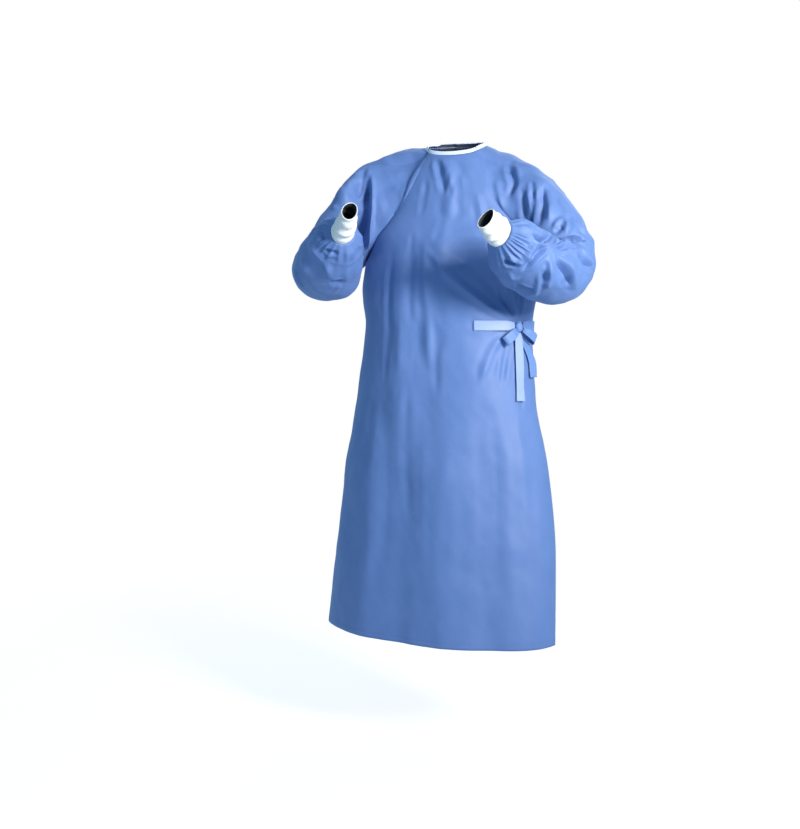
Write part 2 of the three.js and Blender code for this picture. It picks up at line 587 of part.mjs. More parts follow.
const TAIL_FRONT = [
  { w: 0.678, z: -467, lift: 7.5, turn: 0, tilt: 0, share: 0.5 },
  { w: 0.685, z: -484, lift: 5.2, turn: 0, tilt: 0, share: 0.95 },
  { w: 0.69, z: -540, lift: 5.2, turn: 0, tilt: 4, share: 1 },
  { w: 0.685, z: -590, lift: 5, turn: 0, tilt: -4, share: 1 },
  { w: 0.68, z: -630, lift: 6, turn: 0, tilt: 4, share: 1 },
];
const TAIL_SIDE = [
  { w: 0.703, z: -466, lift: 4.5, turn: -20, tilt: 0, share: 0.4 },
  { w: 0.76, z: -487, lift: 2.4, turn: -20, tilt: 0, share: 0.8 },
  { w: 0.84, z: -515, lift: 4, turn: -10, tilt: 6, share: 1 },
  { w: 0.88, z: -545, lift: 7, turn: -6, tilt: 20, share: 1 },
  { w: 0.885, z: -574, lift: 7, turn: 0, tilt: 14, share: 1 },
];

function knot() {
  const { p, across, up, n } = waistFrame(KNOT.w, KNOT.z);
  const finish = new THREE.MeshStandardMaterial({ color: BELT_BLUE, roughness: 0.8, metalness: 0 });
  const mesh = new THREE.Mesh(new THREE.SphereGeometry(1, 16, 10), finish);
  mesh.applyMatrix4(new THREE.Matrix4().makeScale(KNOT.wide, KNOT.high, KNOT.deep));
  mesh.applyMatrix4(new THREE.Matrix4().makeBasis(across, up, n).setPosition(p.addScaledVector(n, KNOT.lift)));
  mesh.name = "belt_knot";
  return mesh;
}

const gown = new THREE.Group();
gown.add(panel("front_panel", frontPoint, frontNormal, -1, 1, FRONT_OUT));
gown.add(panel("back_panel_right", outerBackPoint, backNormal, -1, OUTER_FLAP_EDGE, BACK_OUT));
gown.add(panel("back_panel_left", innerBackPoint, backNormal, INNER_FLAP_EDGE, 1, BACK_OUT));
for (const arm of ARMS) gown.add(sleeve(arm), cuff(arm));
gown.add(neckBinding());
gown.add(band("front_tie", FRONT_TIE, 6), band("side_tie", SIDE_TIE, 16));
gown.add(knot(), band("bow_loop_front", LOOP_FRONT, 12), band("bow_loop_side", LOOP_SIDE, 14));
gown.add(band("bow_tail_front", TAIL_FRONT, 8), band("bow_tail_side", TAIL_SIDE, 6));

export default gown;
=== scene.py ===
import math

import bpy
import numpy as np
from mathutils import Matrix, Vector


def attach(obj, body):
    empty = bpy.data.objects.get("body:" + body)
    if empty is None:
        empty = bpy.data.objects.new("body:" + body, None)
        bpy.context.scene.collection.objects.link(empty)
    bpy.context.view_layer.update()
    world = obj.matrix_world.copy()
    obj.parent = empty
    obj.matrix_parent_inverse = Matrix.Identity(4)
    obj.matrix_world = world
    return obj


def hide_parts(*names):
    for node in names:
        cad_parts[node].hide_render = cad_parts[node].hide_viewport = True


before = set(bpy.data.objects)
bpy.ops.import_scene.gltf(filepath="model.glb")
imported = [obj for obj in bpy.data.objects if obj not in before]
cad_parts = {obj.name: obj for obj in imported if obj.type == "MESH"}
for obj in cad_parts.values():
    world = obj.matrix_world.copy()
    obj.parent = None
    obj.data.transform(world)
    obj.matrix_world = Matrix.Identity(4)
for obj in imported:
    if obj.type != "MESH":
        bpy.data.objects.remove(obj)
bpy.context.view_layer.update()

# The front panel. One cut of blue three-layer nonwoven, bonded all over with tiny dots, that hangs from the
# neck binding and the raglan seams. The belt holds it in at the waist, and it falls in long soft folds.
MM = 0.001
BODY_COLUMNS = ("z", "right_x", "right_y", "left_x", "left_y", "front_y", "back_y", "power")
BODY = [
    (-1212, -344, 32, 266, -88, -187, 172, 0.58),
    (-1000, -316, 26, 262, -62, -180, 158, 0.56),
    (-800, -288, 18, 240, -42, -171, 142, 0.54),
    (-620, -252, 10, 204, -24, -160, 124, 0.5),
    (-455, -230, 4, 194, -12, -148, 106, 0.48),
    (-370, -237, 2, 204, -6, -140, 108, 0.46),
    (-290, -226, 0, 210, 0, -130, 112, 0.44),
]
YOKE_COLUMNS = (
    "front_x", "front_y", "front_z", "chest_y", "chest_z",
    "back_x", "back_y", "back_z", "nape_y", "nape_z", "power",
)
YOKE = [
    (170, -74, -222, -125, -226, 176, 70, -212, 116, -205, 0.6),
    (112, -86, -146, -110, -152, 124, 92, -132, 113, -122, 0.75),
    (82, -66, -74, -86, -84, 84, 76, -58, 93, -52, 0.8),
    (60, -40, -25, -66, -38, 54, 46, -1, 64, 2, 0.6),
]
UNDERARM = len(BODY) - 1
NECK = len(BODY) + len(YOKE) - 1
FRONT_SHAPE = {}
BACK_SHAPE = {}
for shape, middle_y, edge, middle in (
    (FRONT_SHAPE, "front_y", "front", "chest"),
    (BACK_SHAPE, "back_y", "back", "nape"),
):
    body = [dict(zip(BODY_COLUMNS, row)) for row in BODY]
    yoke = [dict(zip(YOKE_COLUMNS, row)) for row in YOKE]
    for column, low, high, sign in (
        ("right_x", "right_x", edge + "_x", -1),
        ("left_x", "left_x", edge + "_x", 1),
        ("right_y", "right_y", edge + "_y", 1),
        ("left_y", "left_y", edge + "_y", 1),
        ("side_z", "z", edge + "_z", 1),
        ("middle_y", middle_y, middle + "_y", 1),
        ("middle_z", "z", middle + "_z", 1),
        ("power", "power", "power", 1),
    ):
        shape[column] = [row[low] for row in body] + [sign * row[high] for row in yoke]


def smooth(t):
    t = np.clip(t, 0.0, 1.0)
    return t * t * (3 - 2 * t)


def bridge(a, leave, b, arrive, s):
    """The way from a to b as s goes from 0 to 1, leaving and arriving at given slopes."""
    return (
        a * (1 + 2 * s) * (1 - s) ** 2
        + leave * s * (1 - s) ** 2
        + b * s * s * (3 - 2 * s)
        + arrive * s * s * (s - 1)
    )


def along_rows(values, t, corner=None):
    """A value between rows: a smooth curve through every row, with no overshoot and one corner."""
    v = np.asarray(values, float)
    last = len(v) - 1
    i = np.clip(np.floor(t).astype(int), 0, last - 1)
    rise = v[i + 1] - v[i]

    def slope(k):
        before = v[k] - v[np.maximum(k - 1, 0)]
        after = v[np.minimum(k + 1, last)] - v[k]
        total = np.where(before * after > 0, before + after, 1.0)
        level = np.where(before * after > 0, 2 * before * after / total, 0.0)
        return np.where((k == 0) | (k == last) | (k == corner), rise, level)

    return bridge(v[i], slope(i), v[i + 1], slope(i + 1), t - i)


def body_point(shape, u, t):
    """The gown's plain form: u from the right seam (-1) to the left one (1), t up the rows, in mm."""
    u, t = np.broadcast_arrays(np.asarray(u, float), np.asarray(t, float))

    def at(column):
        return along_rows(shape[column], t, UNDERARM)

    across = np.sin(u * math.pi / 2)
    share = (1 + across) / 2
    bulge = np.maximum(0, 1 - across * across) ** at("power")
    y = at("right_y") * (1 - share) + at("left_y") * share
    y = y + (at("middle_y") - (at("right_y") + at("left_y")) / 2) * bulge
    z = at("side_z") + (at("middle_z") - at("side_z")) * bulge
    return np.stack([at("right_x") * (1 - share) + at("left_x") * share, y, z], -1)


def unit(v):
    return v / np.maximum(np.linalg.norm(v, axis=-1, keepdims=True), 1e-9)


def grid_normals(points, outward, around=False):
    """Normals of a grid of points [row, column], which may close on itself along its rows."""
    if around:
        wide = np.roll(points, -1, 1) - np.roll(points, 1, 1)
    else:
        wide = np.gradient(points, axis=1)
    return unit(np.cross(wide, np.gradient(points, axis=0))) * outward


def soft_line(places, pieces=6):
    """A smooth line through a few places."""
    p = np.asarray(places, float)
    if len(p) == 2:
        return p[0] + (p[1] - p[0]) * np.linspace(0, 1, 4)[:, None]
    p = np.vstack([2 * p[0] - p[1], p, 2 * p[-1] - p[-2]])
    line = []
    for k in range(1, len(p) - 2):
        for s in np.arange(pieces) / pieces:
            a, b, c, d = p[k - 1 : k + 3]
            bend = (2 * a - 5 * b + 4 * c - d) * s * s + (3 * b - 3 * c + d - a) * s**3
            line.append(0.5 * (2 * b + (c - a) * s + bend))
    return np.array(line + [p[-2]])


def crease(points, folds, normal):
    """How far creases raise the cloth at each point. A fold is (depth, width, sharpness, places along it).
    Its width may be two numbers: to the left and to the right of its run, as seen from outside."""
    flat = points.reshape(-1, 3)
    flat_normal = normal.reshape(-1, 3)
    height = np.zeros(len(flat))
    for depth, width, sharp, places in folds:
        left, right = width if isinstance(width, tuple) else (width, width)
        reach = 3 * max(left, right)
        line = soft_line(places)
        steps = np.linalg.norm(np.diff(line, axis=0), axis=1)
        start = np.concatenate([[0], np.cumsum(steps)])
        near = np.all((flat > line.min(0) - reach) & (flat < line.max(0) + reach), axis=1)
        p = flat[near]
        n = flat_normal[near]
        best = np.full(len(p), 1e9)
        width = np.full(len(p), float(left))
        share = np.zeros(len(p))
        for a, b, before, step in zip(line[:-1], line[1:], start, steps):
            s = np.clip((p - a) @ (b - a) / max(step * step, 1e-9), 0, 1)
            d = np.linalg.norm(p - a - s[:, None] * (b - a), axis=1)
            closer = d < best
            best = np.where(closer, d, best)
            share = np.where(closer, (before + s * step) / start[-1], share)
            side = np.sum(np.cross(b - a, p - a) * n, 1)
            width = np.where(closer, np.where(side > 0, left, right), width)
        # It is shallower and narrower to its ends, uneven on its way, and has low banks on both sides.
        fade = smooth(3.5 * np.minimum(share, 1 - share)) ** 0.8
        narrow = width * (0.5 + 0.4 * fade)
        fade = fade * (0.8 + 0.2 * np.sin(share * 11 + 3 * depth))
        trough = np.exp(-((best / narrow) ** (0.85 * sharp)))
        banks = 0.3 * np.exp(-(((best - 1.9 * narrow) / (0.9 * narrow)) ** 2))
        height[near] += depth * fade * (trough - banks)
    return height.reshape(points.shape[:-1])


RIPPLE_WAVES = 9


def ripple(points, size, depth, seed):
    """Faint unevenness of crisp cloth that was folded and worn: a few bent waves of nearly flat facets."""
    spin = np.random.default_rng(seed)
    height = np.zeros(points.shape[:-1])
    for _ in range(RIPPLE_WAVES):
        way = unit(spin.normal(size=3) * (1.0, 1.0, 0.55))
        length = size * spin.uniform(0.6, 1.7)
        bend = unit(spin.normal(size=3))
        phase = points @ way / length * 2 * math.pi + spin.uniform(0, 6.3)
        phase = phase + 1.6 * np.sin(points @ bend / (2.3 * length) * 2 * math.pi + spin.uniform(0, 6.3))
        height += np.arcsin(0.99 * np.sin(phase)) * depth / 4
    return height


def place_object(name, data):
    placed = bpy.data.objects.new(name, data)
    bpy.context.collection.objects.link(placed)
    return placed


def cloth_wall(name, outer, outward, wall, cloths, around=False):
    """A mesh of a sheet from its outer points in mm: an outer and an inner face, closed at the edges. Its
    two cloths are the materials of the outer and the inner face."""
    rows, columns = outer.shape[:2]
    count = rows * columns
    inner = outer - grid_normals(outer, outward, around) * wall
    closed = outer if not around else np.concatenate([outer, outer[:, :1]], 1)
    across = np.linalg.norm(np.diff(closed, axis=1), axis=2)
    upward = np.linalg.norm(np.diff(outer, axis=0), axis=2)
    u_run = np.concatenate([np.zeros((rows, 1)), np.cumsum(across, axis=1)], 1)
    if not around:
        u_run -= u_run[:, columns // 2 : columns // 2 + 1]
    v_run = np.concatenate([[0], np.cumsum(upward.mean(1))])
    wide = columns if around else columns - 1
    r, c = np.meshgrid(np.arange(rows - 1), np.arange(wide), indexing="ij")
    r, c = r.ravel(), c.ravel()
    d = (c + 1) % columns
    face = np.stack([r * columns + c, r * columns + d, (r + 1) * columns + d, (r + 1) * columns + c], 1)
    place = np.stack([r, c, r, c + 1, r + 1, c + 1, r + 1, c], 1).reshape(-1, 4, 2)
    sheets = [(face, place), (face[:, ::-1] + count, place[:, ::-1])]
    along = np.arange(wide + 1)
    down = np.arange(rows)
    edges = [(along * 0, along, 1), (along * 0 + rows - 1, along, -1)]
    if not around:
        edges += [(down, down * 0, -1), (down, down * 0 + columns - 1, 1)]
    for edge_row, edge_column, turn in edges:
        edge = edge_row * columns + edge_column % columns
        rim = np.stack([edge[:-1], edge[:-1] + count, edge[1:] + count, edge[1:]], 1)
        spot = np.stack([edge_row, edge_column], 1)
        spot = np.stack([spot[:-1], spot[:-1], spot[1:], spot[1:]], 1)
        sheets.append((rim[:, ::turn], spot[:, ::turn]))
    faces = np.concatenate([f for f, _ in sheets])
    spots = np.concatenate([s for _, s in sheets]).reshape(-1, 2)
    if outward < 0:
        faces = faces[:, ::-1]
        spots = spots.reshape(-1, 4, 2)[:, ::-1].reshape(-1, 2)
    mesh = bpy.data.meshes.new(name)
    points = np.concatenate([outer.reshape(-1, 3), inner.reshape(-1, 3)]) * MM
    mesh.vertices.add(len(points))
    mesh.vertices.foreach_set("co", points.astype(np.float32).ravel())
    mesh.loops.add(faces.size)
    mesh.loops.foreach_set("vertex_index", faces.astype(np.int32).ravel())
    mesh.polygons.add(len(faces))
    mesh.polygons.foreach_set("loop_start", np.arange(0, faces.size, 4, dtype=np.int32))
    mesh.polygons.foreach_set("use_smooth", np.ones(len(faces), bool))
    inside = np.zeros(len(faces), np.int32)
    inside[len(face) : 2 * len(face)] = 1
    mesh.polygons.foreach_set("material_index", inside)
    mesh.update(calc_edges=True)
    cloth_map = mesh.uv_layers.new(name="cloth")
    uv = np.stack([u_run[spots[:, 0], np.minimum(spots[:, 1], u_run.shape[1] - 1)], v_run[spots[:, 0]]], 1)
    cloth_map.data.foreach_set("uv", (uv * MM).astype(np.float32).ravel())
    for cloth in cloths:
        mesh.materials.append(cloth)
    return place_object(name, mesh)


def turned_in(out, edge, beyond, depth=2.0, reach=6.0):
    """The seam allowance: a row that runs on behind the next piece. edge and beyond are the row at the seam
    and one further in, and out is the way the cloth faces."""
    return edge + unit(edge - beyond) * reach - out * depth


STITCH_CLEARANCE = 0.1


def inset_line(points, outward, apart, around=False):
    """A line on a grid at a distance in from its first row, just clear of the cloth."""
    normal = grid_normals(points, outward, around)
    near_rows = 40
    reach = np.linalg.norm(points[:near_rows] - points[:1], axis=2)
    k = np.maximum(np.argmax(reach > apart, axis=0), 1)
    c = np.arange(points.shape[1])
    share = ((apart - reach[k - 1, c]) / (reach[k, c] - reach[k - 1, c]))[:, None]
    return points[k - 1, c] * (1 - share) + points[k, c] * share + normal[k, c] * STITCH_CLEARANCE


def feed(tree, node, given):
    """Gives a node's inputs their values. Each is a number, a colour, or another node's output."""
    for key, value in given.items():
        if isinstance(value, bpy.types.NodeSocket):
            tree.links.new(value, node.inputs[key])
        else:
            node.inputs[key].default_value = value
    return node


def add_node(tree, kind, given, **settings):
    node = tree.nodes.new(kind)
    for key, value in settings.items():
        setattr(node, key, value)
    return feed(tree, node, given)


def numbers(tree, operation, *values):
    """A Math node with each value a number or a socket."""
    return add_node(tree, "ShaderNodeMath", dict(enumerate(values)), operation=operation).outputs[0]


def noise(tree, vector, scale, detail=2, roughness=0.5):
    given = {"Vector": vector, "Scale": scale, "Detail": detail, "Roughness": roughness}
    return add_node(tree, "ShaderNodeTexNoise", given).outputs["Fac"]


def bump(tree, height, strength, distance, below=None):
    """A bump, which may lie on another one's normal."""
    given = {"Height": height, "Strength": strength, "Distance": distance}
    if below is not None:
        given["Normal"] = below
    return add_node(tree, "ShaderNodeBump", given).outputs["Normal"]


def ramp(tree, value, *stops):
    """A colour ramp between two stops, each a place and a colour."""
    node = add_node(tree, "ShaderNodeValToRGB", {"Fac": value})
    for stop, (at, colour) in zip(node.color_ramp.elements, stops):
        stop.position = at
        stop.color = (*colour, 1)
    return node.outputs["Color"]


def new_material(name):
    material = bpy.data.materials.new(name)
    material.use_nodes = True
    return material, material.node_tree, material.node_tree.nodes["Principled BSDF"]


def node_group(name, kind, inputs, outputs):
    """An empty group with named inputs and outputs, and its two end nodes."""
    group = bpy.data.node_groups.new(name, kind)
    for label, what, value in inputs:
        socket = group.interface.new_socket(label, in_out="INPUT", socket_type="NodeSocket" + what)
        if value is not None:
            socket.default_value = value
    for label, what in outputs:
        group.interface.new_socket(label, in_out="OUTPUT", socket_type="NodeSocket" + what)
    return group, group.nodes.new("NodeGroupInput"), group.nodes.new("NodeGroupOutput")


def stitching():
    """Geometry nodes that set short threads along edges: one group for every row of stitches."""
    group, given, made = node_group(
        "stitching",
        "GeometryNodeTree",
        [
            ("Geometry", "Geometry", None),
            ("Stitch Spacing", "Float", 0.0032),
            ("Stitch Share", "Float", 0.72),
            ("Thread Radius", "Float", 0.00024),
            ("Thread", "Material", None),
        ],
        [("Geometry", "Geometry")],
    )
    given = given.outputs
    spacing = given["Stitch Spacing"]
    curve = add_node(group, "GeometryNodeMeshToCurve", {"Mesh": given["Geometry"]}).outputs
    along = {"Curve": curve["Curve"], "Length": spacing}
    spots = add_node(group, "GeometryNodeCurveToPoints", along, mode="LENGTH").outputs
    depth = numbers(group, "MULTIPLY", spacing, given["Stitch Share"])
    size = {"Vertices": 6, "Depth": depth, "Radius": given["Thread Radius"]}
    thread = add_node(group, "GeometryNodeMeshCylinder", size).outputs["Mesh"]
    spots = {"Points": spots["Points"], "Rotation": spots["Rotation"], "Instance": thread}
    placed = add_node(group, "GeometryNodeInstanceOnPoints", spots).outputs["Instances"]
    solid = add_node(group, "GeometryNodeRealizeInstances", {"Geometry": placed}).outputs["Geometry"]
    paint = {"Geometry": solid, "Material": given["Thread"]}
    painted = add_node(group, "GeometryNodeSetMaterial", paint).outputs["Geometry"]
    feed(group, made, {"Geometry": painted})
    return group


def sew(name, lines, spacing=3.2, radius=0.24):
    """Rows of stitches along lines in mm, as one piece."""
    points = np.concatenate(lines) * MM
    edges = []
    start = 0
    for line in lines:
        edges += [(start + k, start + k + 1) for k in range(len(line) - 1)]
        start += len(line)
    path = bpy.data.meshes.new(name + "_path")
    path.from_pydata([tuple(p) for p in points], edges, [])
    row = place_object(name + "_path", path)
    layer = row.modifiers.new("stitching", "NODES")
    layer.node_group = stitch_group
    sockets = stitch_group.interface.items_tree
    sockets = {item.name: item.identifier for item in sockets if item.in_out == "INPUT"}
    layer[sockets["Stitch Spacing"]] = spacing * MM
    layer[sockets["Thread Radius"]] = radius * MM
    layer[sockets["Thread"]] = thread_blue
    mesh = bpy.data.meshes.new_from_object(row.evaluated_get(bpy.context.evaluated_depsgraph_get()))
    mesh.name = name
    row.modifiers.clear()
    bpy.data.objects.remove(row)
    stitches = place_object(name, mesh)
    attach(stitches, "root")
    return stitches


stitch_group = stitching()
# The sewing thread: spun blue polyester, with its strands as noise.
thread_blue, tree, shader = new_material("thread_blue")
place = tree.nodes.new("ShaderNodeTexCoord").outputs["Object"]
strands = ramp(tree, noise(tree, place, scale=2500), (0, (0.05, 0.1, 0.28)), (1, (0.16, 0.26, 0.52)))
feed(tree, shader, {"Base Color": strands, "Roughness": 0.6})

# Bonded nonwoven: rows of tiny pressed dots on the cloth's own map, with loose fibres and cloudy colour.
nonwoven, given, made = node_group(
    "bonded_nonwoven",
    "ShaderNodeTree",
    [
        ("Cloth Colour", "Color", (0.1, 0.2, 0.6, 1)),
        ("Cloud Colour", "Color", (0.1, 0.2, 0.6, 1)),
        ("Dot Spacing", "Float", 0.0022),
        ("Dot Depth", "Float", 0.3),
        ("Fibre Amount", "Float", 0.3),
    ],
    [("Colour", "Color"), ("Height", "Float"), ("Crinkle", "Float"), ("Roughness", "Float")],
)
given = given.outputs
cloth_uv = add_node(nonwoven, "ShaderNodeUVMap", {}, uv_map="cloth").outputs[0]
place = nonwoven.nodes.new("ShaderNodeTexCoord").outputs["Object"]
parts = add_node(nonwoven, "ShaderNodeSeparateXYZ", {0: cloth_uv}).outputs
turn = numbers(nonwoven, "DIVIDE", 2 * math.pi, given["Dot Spacing"])
dot_rows = numbers(nonwoven, "SINE", numbers(nonwoven, "MULTIPLY", parts[0], turn))
dot_columns = numbers(nonwoven, "SINE", numbers(nonwoven, "MULTIPLY", parts[1], turn))
dots = numbers(nonwoven, "MULTIPLY", dot_rows, dot_columns)
dot_tops = numbers(nonwoven, "MAXIMUM", numbers(nonwoven, "SUBTRACT", dots, 0.35), 0.0)
pressed = numbers(nonwoven, "MULTIPLY", dot_tops, 1.5)
fibres = noise(nonwoven, cloth_uv, scale=900, detail=3, roughness=0.65)
clouds = noise(nonwoven, place, scale=16, detail=6, roughness=0.6)
grain = noise(nonwoven, place, scale=230, detail=4)
cloud_share = numbers(nonwoven, "MULTIPLY", clouds, 0.65)
mottle = numbers(nonwoven, "ADD", cloud_share, numbers(nonwoven, "MULTIPLY", grain, 0.35))
clear = add_node(nonwoven, "ShaderNodeMapRange", {"Value": mottle, "From Min": 0.3, "From Max": 0.7})
both = {"Factor": clear.outputs[0], "A": given["Cloth Colour"], "B": given["Cloud Colour"]}
tint = add_node(nonwoven, "ShaderNodeMix", both, data_type="RGBA")
# Crinkles: sharp bends left by folding and wearing, as the lines where slow noise crosses its middle.
stretched = add_node(nonwoven, "ShaderNodeMapping", {"Vector": place, "Scale": (1, 1, 0.4)}).outputs[0]
bends = []
for scale, share in ((5, 1.0), (11, 0.4)):
    slow = noise(nonwoven, stretched, scale, detail=1.5)
    off_middle = numbers(nonwoven, "ABSOLUTE", numbers(nonwoven, "SUBTRACT", slow, 0.5))
    bends.append(numbers(nonwoven, "MULTIPLY", numbers(nonwoven, "MINIMUM", off_middle, 0.16), 6 * share))
dent = numbers(nonwoven, "MULTIPLY", pressed, given["Dot Depth"])
fuzz = numbers(nonwoven, "MULTIPLY", fibres, given["Fibre Amount"])
feed(nonwoven, made, {
    "Colour": tint.outputs["Result"],
    "Height": numbers(nonwoven, "SUBTRACT", fuzz, dent),
    "Crinkle": numbers(nonwoven, "ADD", bends[0], bends[1]),
    "Roughness": numbers(nonwoven, "ADD", numbers(nonwoven, "MULTIPLY", grain, 0.2), 0.5),
})


def cloth_material(name, colour, cloud_colour, spacing, sheen, crinkled=0.1):
    """Nonwoven cloth with a faint smooth sheen."""
    material, tree, shader = new_material(name)
    cloth = tree.nodes.new("ShaderNodeGroup")
    cloth.node_tree = nonwoven
    looks = {"Cloth Colour": (*colour, 1), "Cloud Colour": (*cloud_colour, 1), "Dot Spacing": spacing}
    cloth = feed(tree, cloth, looks).outputs
    bent = bump(tree, cloth["Crinkle"], strength=crinkled, distance=0.006)
    dotted = bump(tree, cloth["Height"], strength=0.3, distance=0.0004, below=bent)
    feed(tree, shader, {
        "Base Color": cloth["Colour"],
        "Roughness": cloth["Roughness"],
        "Normal": dotted,
        "IOR": 1.5,
        "Specular IOR Level": 0.55,
        "Sheen Weight": sheen,
        "Sheen Roughness": 0.45,
        "Sheen Tint": (0.7, 0.8, 1, 1),
    })
    return material


gown_blue = cloth_material(
    "gown_blue", (0.088, 0.175, 0.425), (0.112, 0.203, 0.47), spacing=0.0022, sheen=0.14, crinkled=0.22
)
# Painted shade: the inner face of the blue cloth is a near-black blue. It stands in for the shade that falls
# inside the gown and is not a colour of the cloth.
gown_inside_painted_shade = cloth_material(
    "gown_inside_painted_shade", (0.012, 0.02, 0.05), (0.018, 0.03, 0.07), spacing=0.0022, sheen=0
)

PANEL_WALL = 1.2
SEAM_GAP = 0.3
FRONT_ROWS = 270
FRONT_COLUMNS = 161
BACK_ROWS = 230
UPRIGHT_SHARE = 0.76
BELT_HEIGHT = -450
HEM_STITCH = 14
EDGE_STITCH = 10
SEAM_STITCH = 4
# Broad folds by where they run over the front: from x, from z, to x, to z, width, height.
FRONT_DRAPE = [
    (-70, -240, 170, -400, 60, 8),
    (-110, -230, -110, -760, 44, 5),
    (-40, -330, -30, -800, 44, -5),
    (-180, -640, -220, -1400, 50, 7),
    (-90, -700, -110, -1400, 50, -6),
    (10, -640, 10, -1400, 50, 6),
    (100, -560, 130, -1400, 50, -6),
]
# Creases, in mm: height, width, sharpness, places along it.
FRONT_CREASES = [
    (-17, 42, 1.8, [(-6, -136, -262), (60, -134, -306), (124, -118, -366), (172, -84, -424)]),
    (9, 11, 1.5, [
        (-46, -130, -262), (6, -140, -322), (70, -136, -378), (140, -104, -432), (172, -84, -446),
    ]),
    (6, 16, 1.5, [(-50, -128, -240), (-44, -134, -330), (-36, -146, -430), (-30, -150, -560)]),
    (-3.5, 9, 1.2, [(-81, -118, -214), (-84, -124, -330), (-78, -130, -500)]),
    (2, 14, 1.6, [(-112, -112, -232), (-108, -133, -388), (-104, -149, -600)]),
    (-3, 10, 1.2, [(-138, -108, -240), (-138, -120, -380), (-148, -130, -600)]),
    (-2, 9, 1.3, [(-26, -135, -400), (-16, -145, -500), (-10, -163, -640)]),
    (2, 9, 1.5, [(-64, -128, -260), (-68, -140, -380), (-60, -150, -470)]),
    (-9, 9, 1.3, [(-42, -66, -30), (-28, -82, -58), (-15, -95, -92), (-2, -107, -140)]),
    (6, 15, 1.5, [(-14, -74, -34), (4, -88, -80), (12, -100, -140), (8, -112, -220)]),
    (-2.5, 7, 1.2, [(6, -86, -70), (2, -96, -100), (14, -106, -150)]),
    (-2.5, 8, 1.3, [(-58, -80, -90), (-54, -96, -130), (-62, -108, -200)]),
    (2, 9, 1.5, [(30, -86, -80), (40, -98, -130), (38, -108, -190)]),
    (-2, 9, 1.3, [(-6, -109, -190), (-14, -120, -230), (-30, -126, -262)]),
    (3, 9, 1.5, [(70, -96, -130), (84, -104, -180), (88, -112, -240)]),
    (-4, 10, 1.4, [(96, -96, -170), (108, -100, -230), (116, -108, -300)]),
    (-7, 7, 1.2, [(172, -86, -438), (150, -100, -392), (128, -112, -344)]),
    (6, 6, 1.5, [(176, -82, -436), (166, -88, -390), (150, -92, -340)]),
    (-7, 6, 1.2, [(180, -78, -436), (180, -76, -380), (168, -74, -320)]),
    (-6, 8, 1.2, [(168, -96, -470), (150, -112, -520), (140, -128, -600)]),
    (4, 10, 1.5, [(150, -104, -462), (118, -130, -510), (90, -146, -590)]),
    (-5, 9, 1.3, [(176, -92, -480), (184, -90, -560), (186, -96, -660)]),
    (-1.6, 16, 1.4, [(-134, -142, -640), (-138, -148, -860), (-142, -150, -1080)]),
    (2, 18, 1.6, [(-166, -120, -600), (-176, -126, -800), (-186, -130, -1120)]),
    (-2.2, 11, 1.2, [(-82, -152, -560), (-88, -160, -760), (-76, -168, -960)]),
    (1.6, 20, 1.6, [(-34, -160, -640), (-40, -170, -860), (-24, -180, -1120)]),
    (-1.4, 14, 1.3, [(8, -172, -760), (14, -180, -900), (22, -192, -1190)]),
    (1.2, 22, 1.6, [(74, -160, -700), (84, -170, -860), (92, -180, -1190)]),
    (-2, 16, 1.3, [(126, -146, -640), (136, -156, -860), (146, -170, -1190)]),
    (2, 14, 1.5, [(176, -110, -640), (192, -122, -860), (206, -138, -1190)]),
]
PANEL_CREASING = 1.6
# Waves over a panel: size, height.
PANEL_RIPPLES = ((150, 1.6), (52, 0.45))
FRONT_SEED = 11
# How fast the folds fade at the side seams, the creases at the side seams, and the creases at the neck.
DRAPE_FADE = 5
CREASE_FADE = 9
NECK_FADE = 2.5
BELT_REACH = 20


def drape(points, folds):
    """How far broad folds raise the cloth, by where they run as seen from the front."""
    height = np.zeros(points.shape[:-1])
    for from_x, from_z, to_x, to_z, width, rise in folds:
        run = np.array([to_x - from_x, to_z - from_z], float)
        off = points[..., [0, 2]] - (from_x, from_z)
        share = np.clip(off @ run / (run @ run), 0, 1)
        apart = np.linalg.norm(off - share[..., None] * run, axis=-1)
        height += rise * np.exp(-2 * (apart / width) ** 2) * smooth(4 * np.minimum(share, 1 - share))
    return height


def panel_points(shape, us, rows, outward, folds, creases, seed, strength=1):
    """A panel's outer points and plain normals: its form, its broad folds, its creases, and calm seams. The
    belt presses flat what would stand up under it."""
    upright = int(rows * UPRIGHT_SHARE)
    straight = np.linspace(0, UNDERARM, upright, endpoint=False)
    t = np.concatenate([straight, np.linspace(UNDERARM, NECK, rows - upright)])
    form = body_point(shape, us[None, :], t[:, None])
    flat_us = np.clip(us, -0.998, 0.998)
    normal = grid_normals(body_point(shape, flat_us[None, :], t[:, None]), outward)
    loose = smooth((1 - np.abs(us)) * DRAPE_FADE)[None, :]
    points = form + normal * (drape(form, folds) * loose)[..., None]
    free = smooth((1 - np.abs(us)) * CREASE_FADE)[None, :] * smooth((NECK - t) * NECK_FADE)[:, None]
    wrinkle = PANEL_CREASING * crease(points, creases, normal) * strength
    for k, (size, depth) in enumerate(PANEL_RIPPLES):
        wrinkle = wrinkle + ripple(points, size, depth, seed + k)
    x, z = points[..., 0], points[..., 2]
    under_belt = np.exp(-(((z - BELT_HEIGHT) / BELT_REACH) ** 2)) * smooth((x - 40) / 30)
    wrinkle = wrinkle - np.maximum(wrinkle, 0) * under_belt
    return points + normal * (wrinkle * free)[..., None], normal


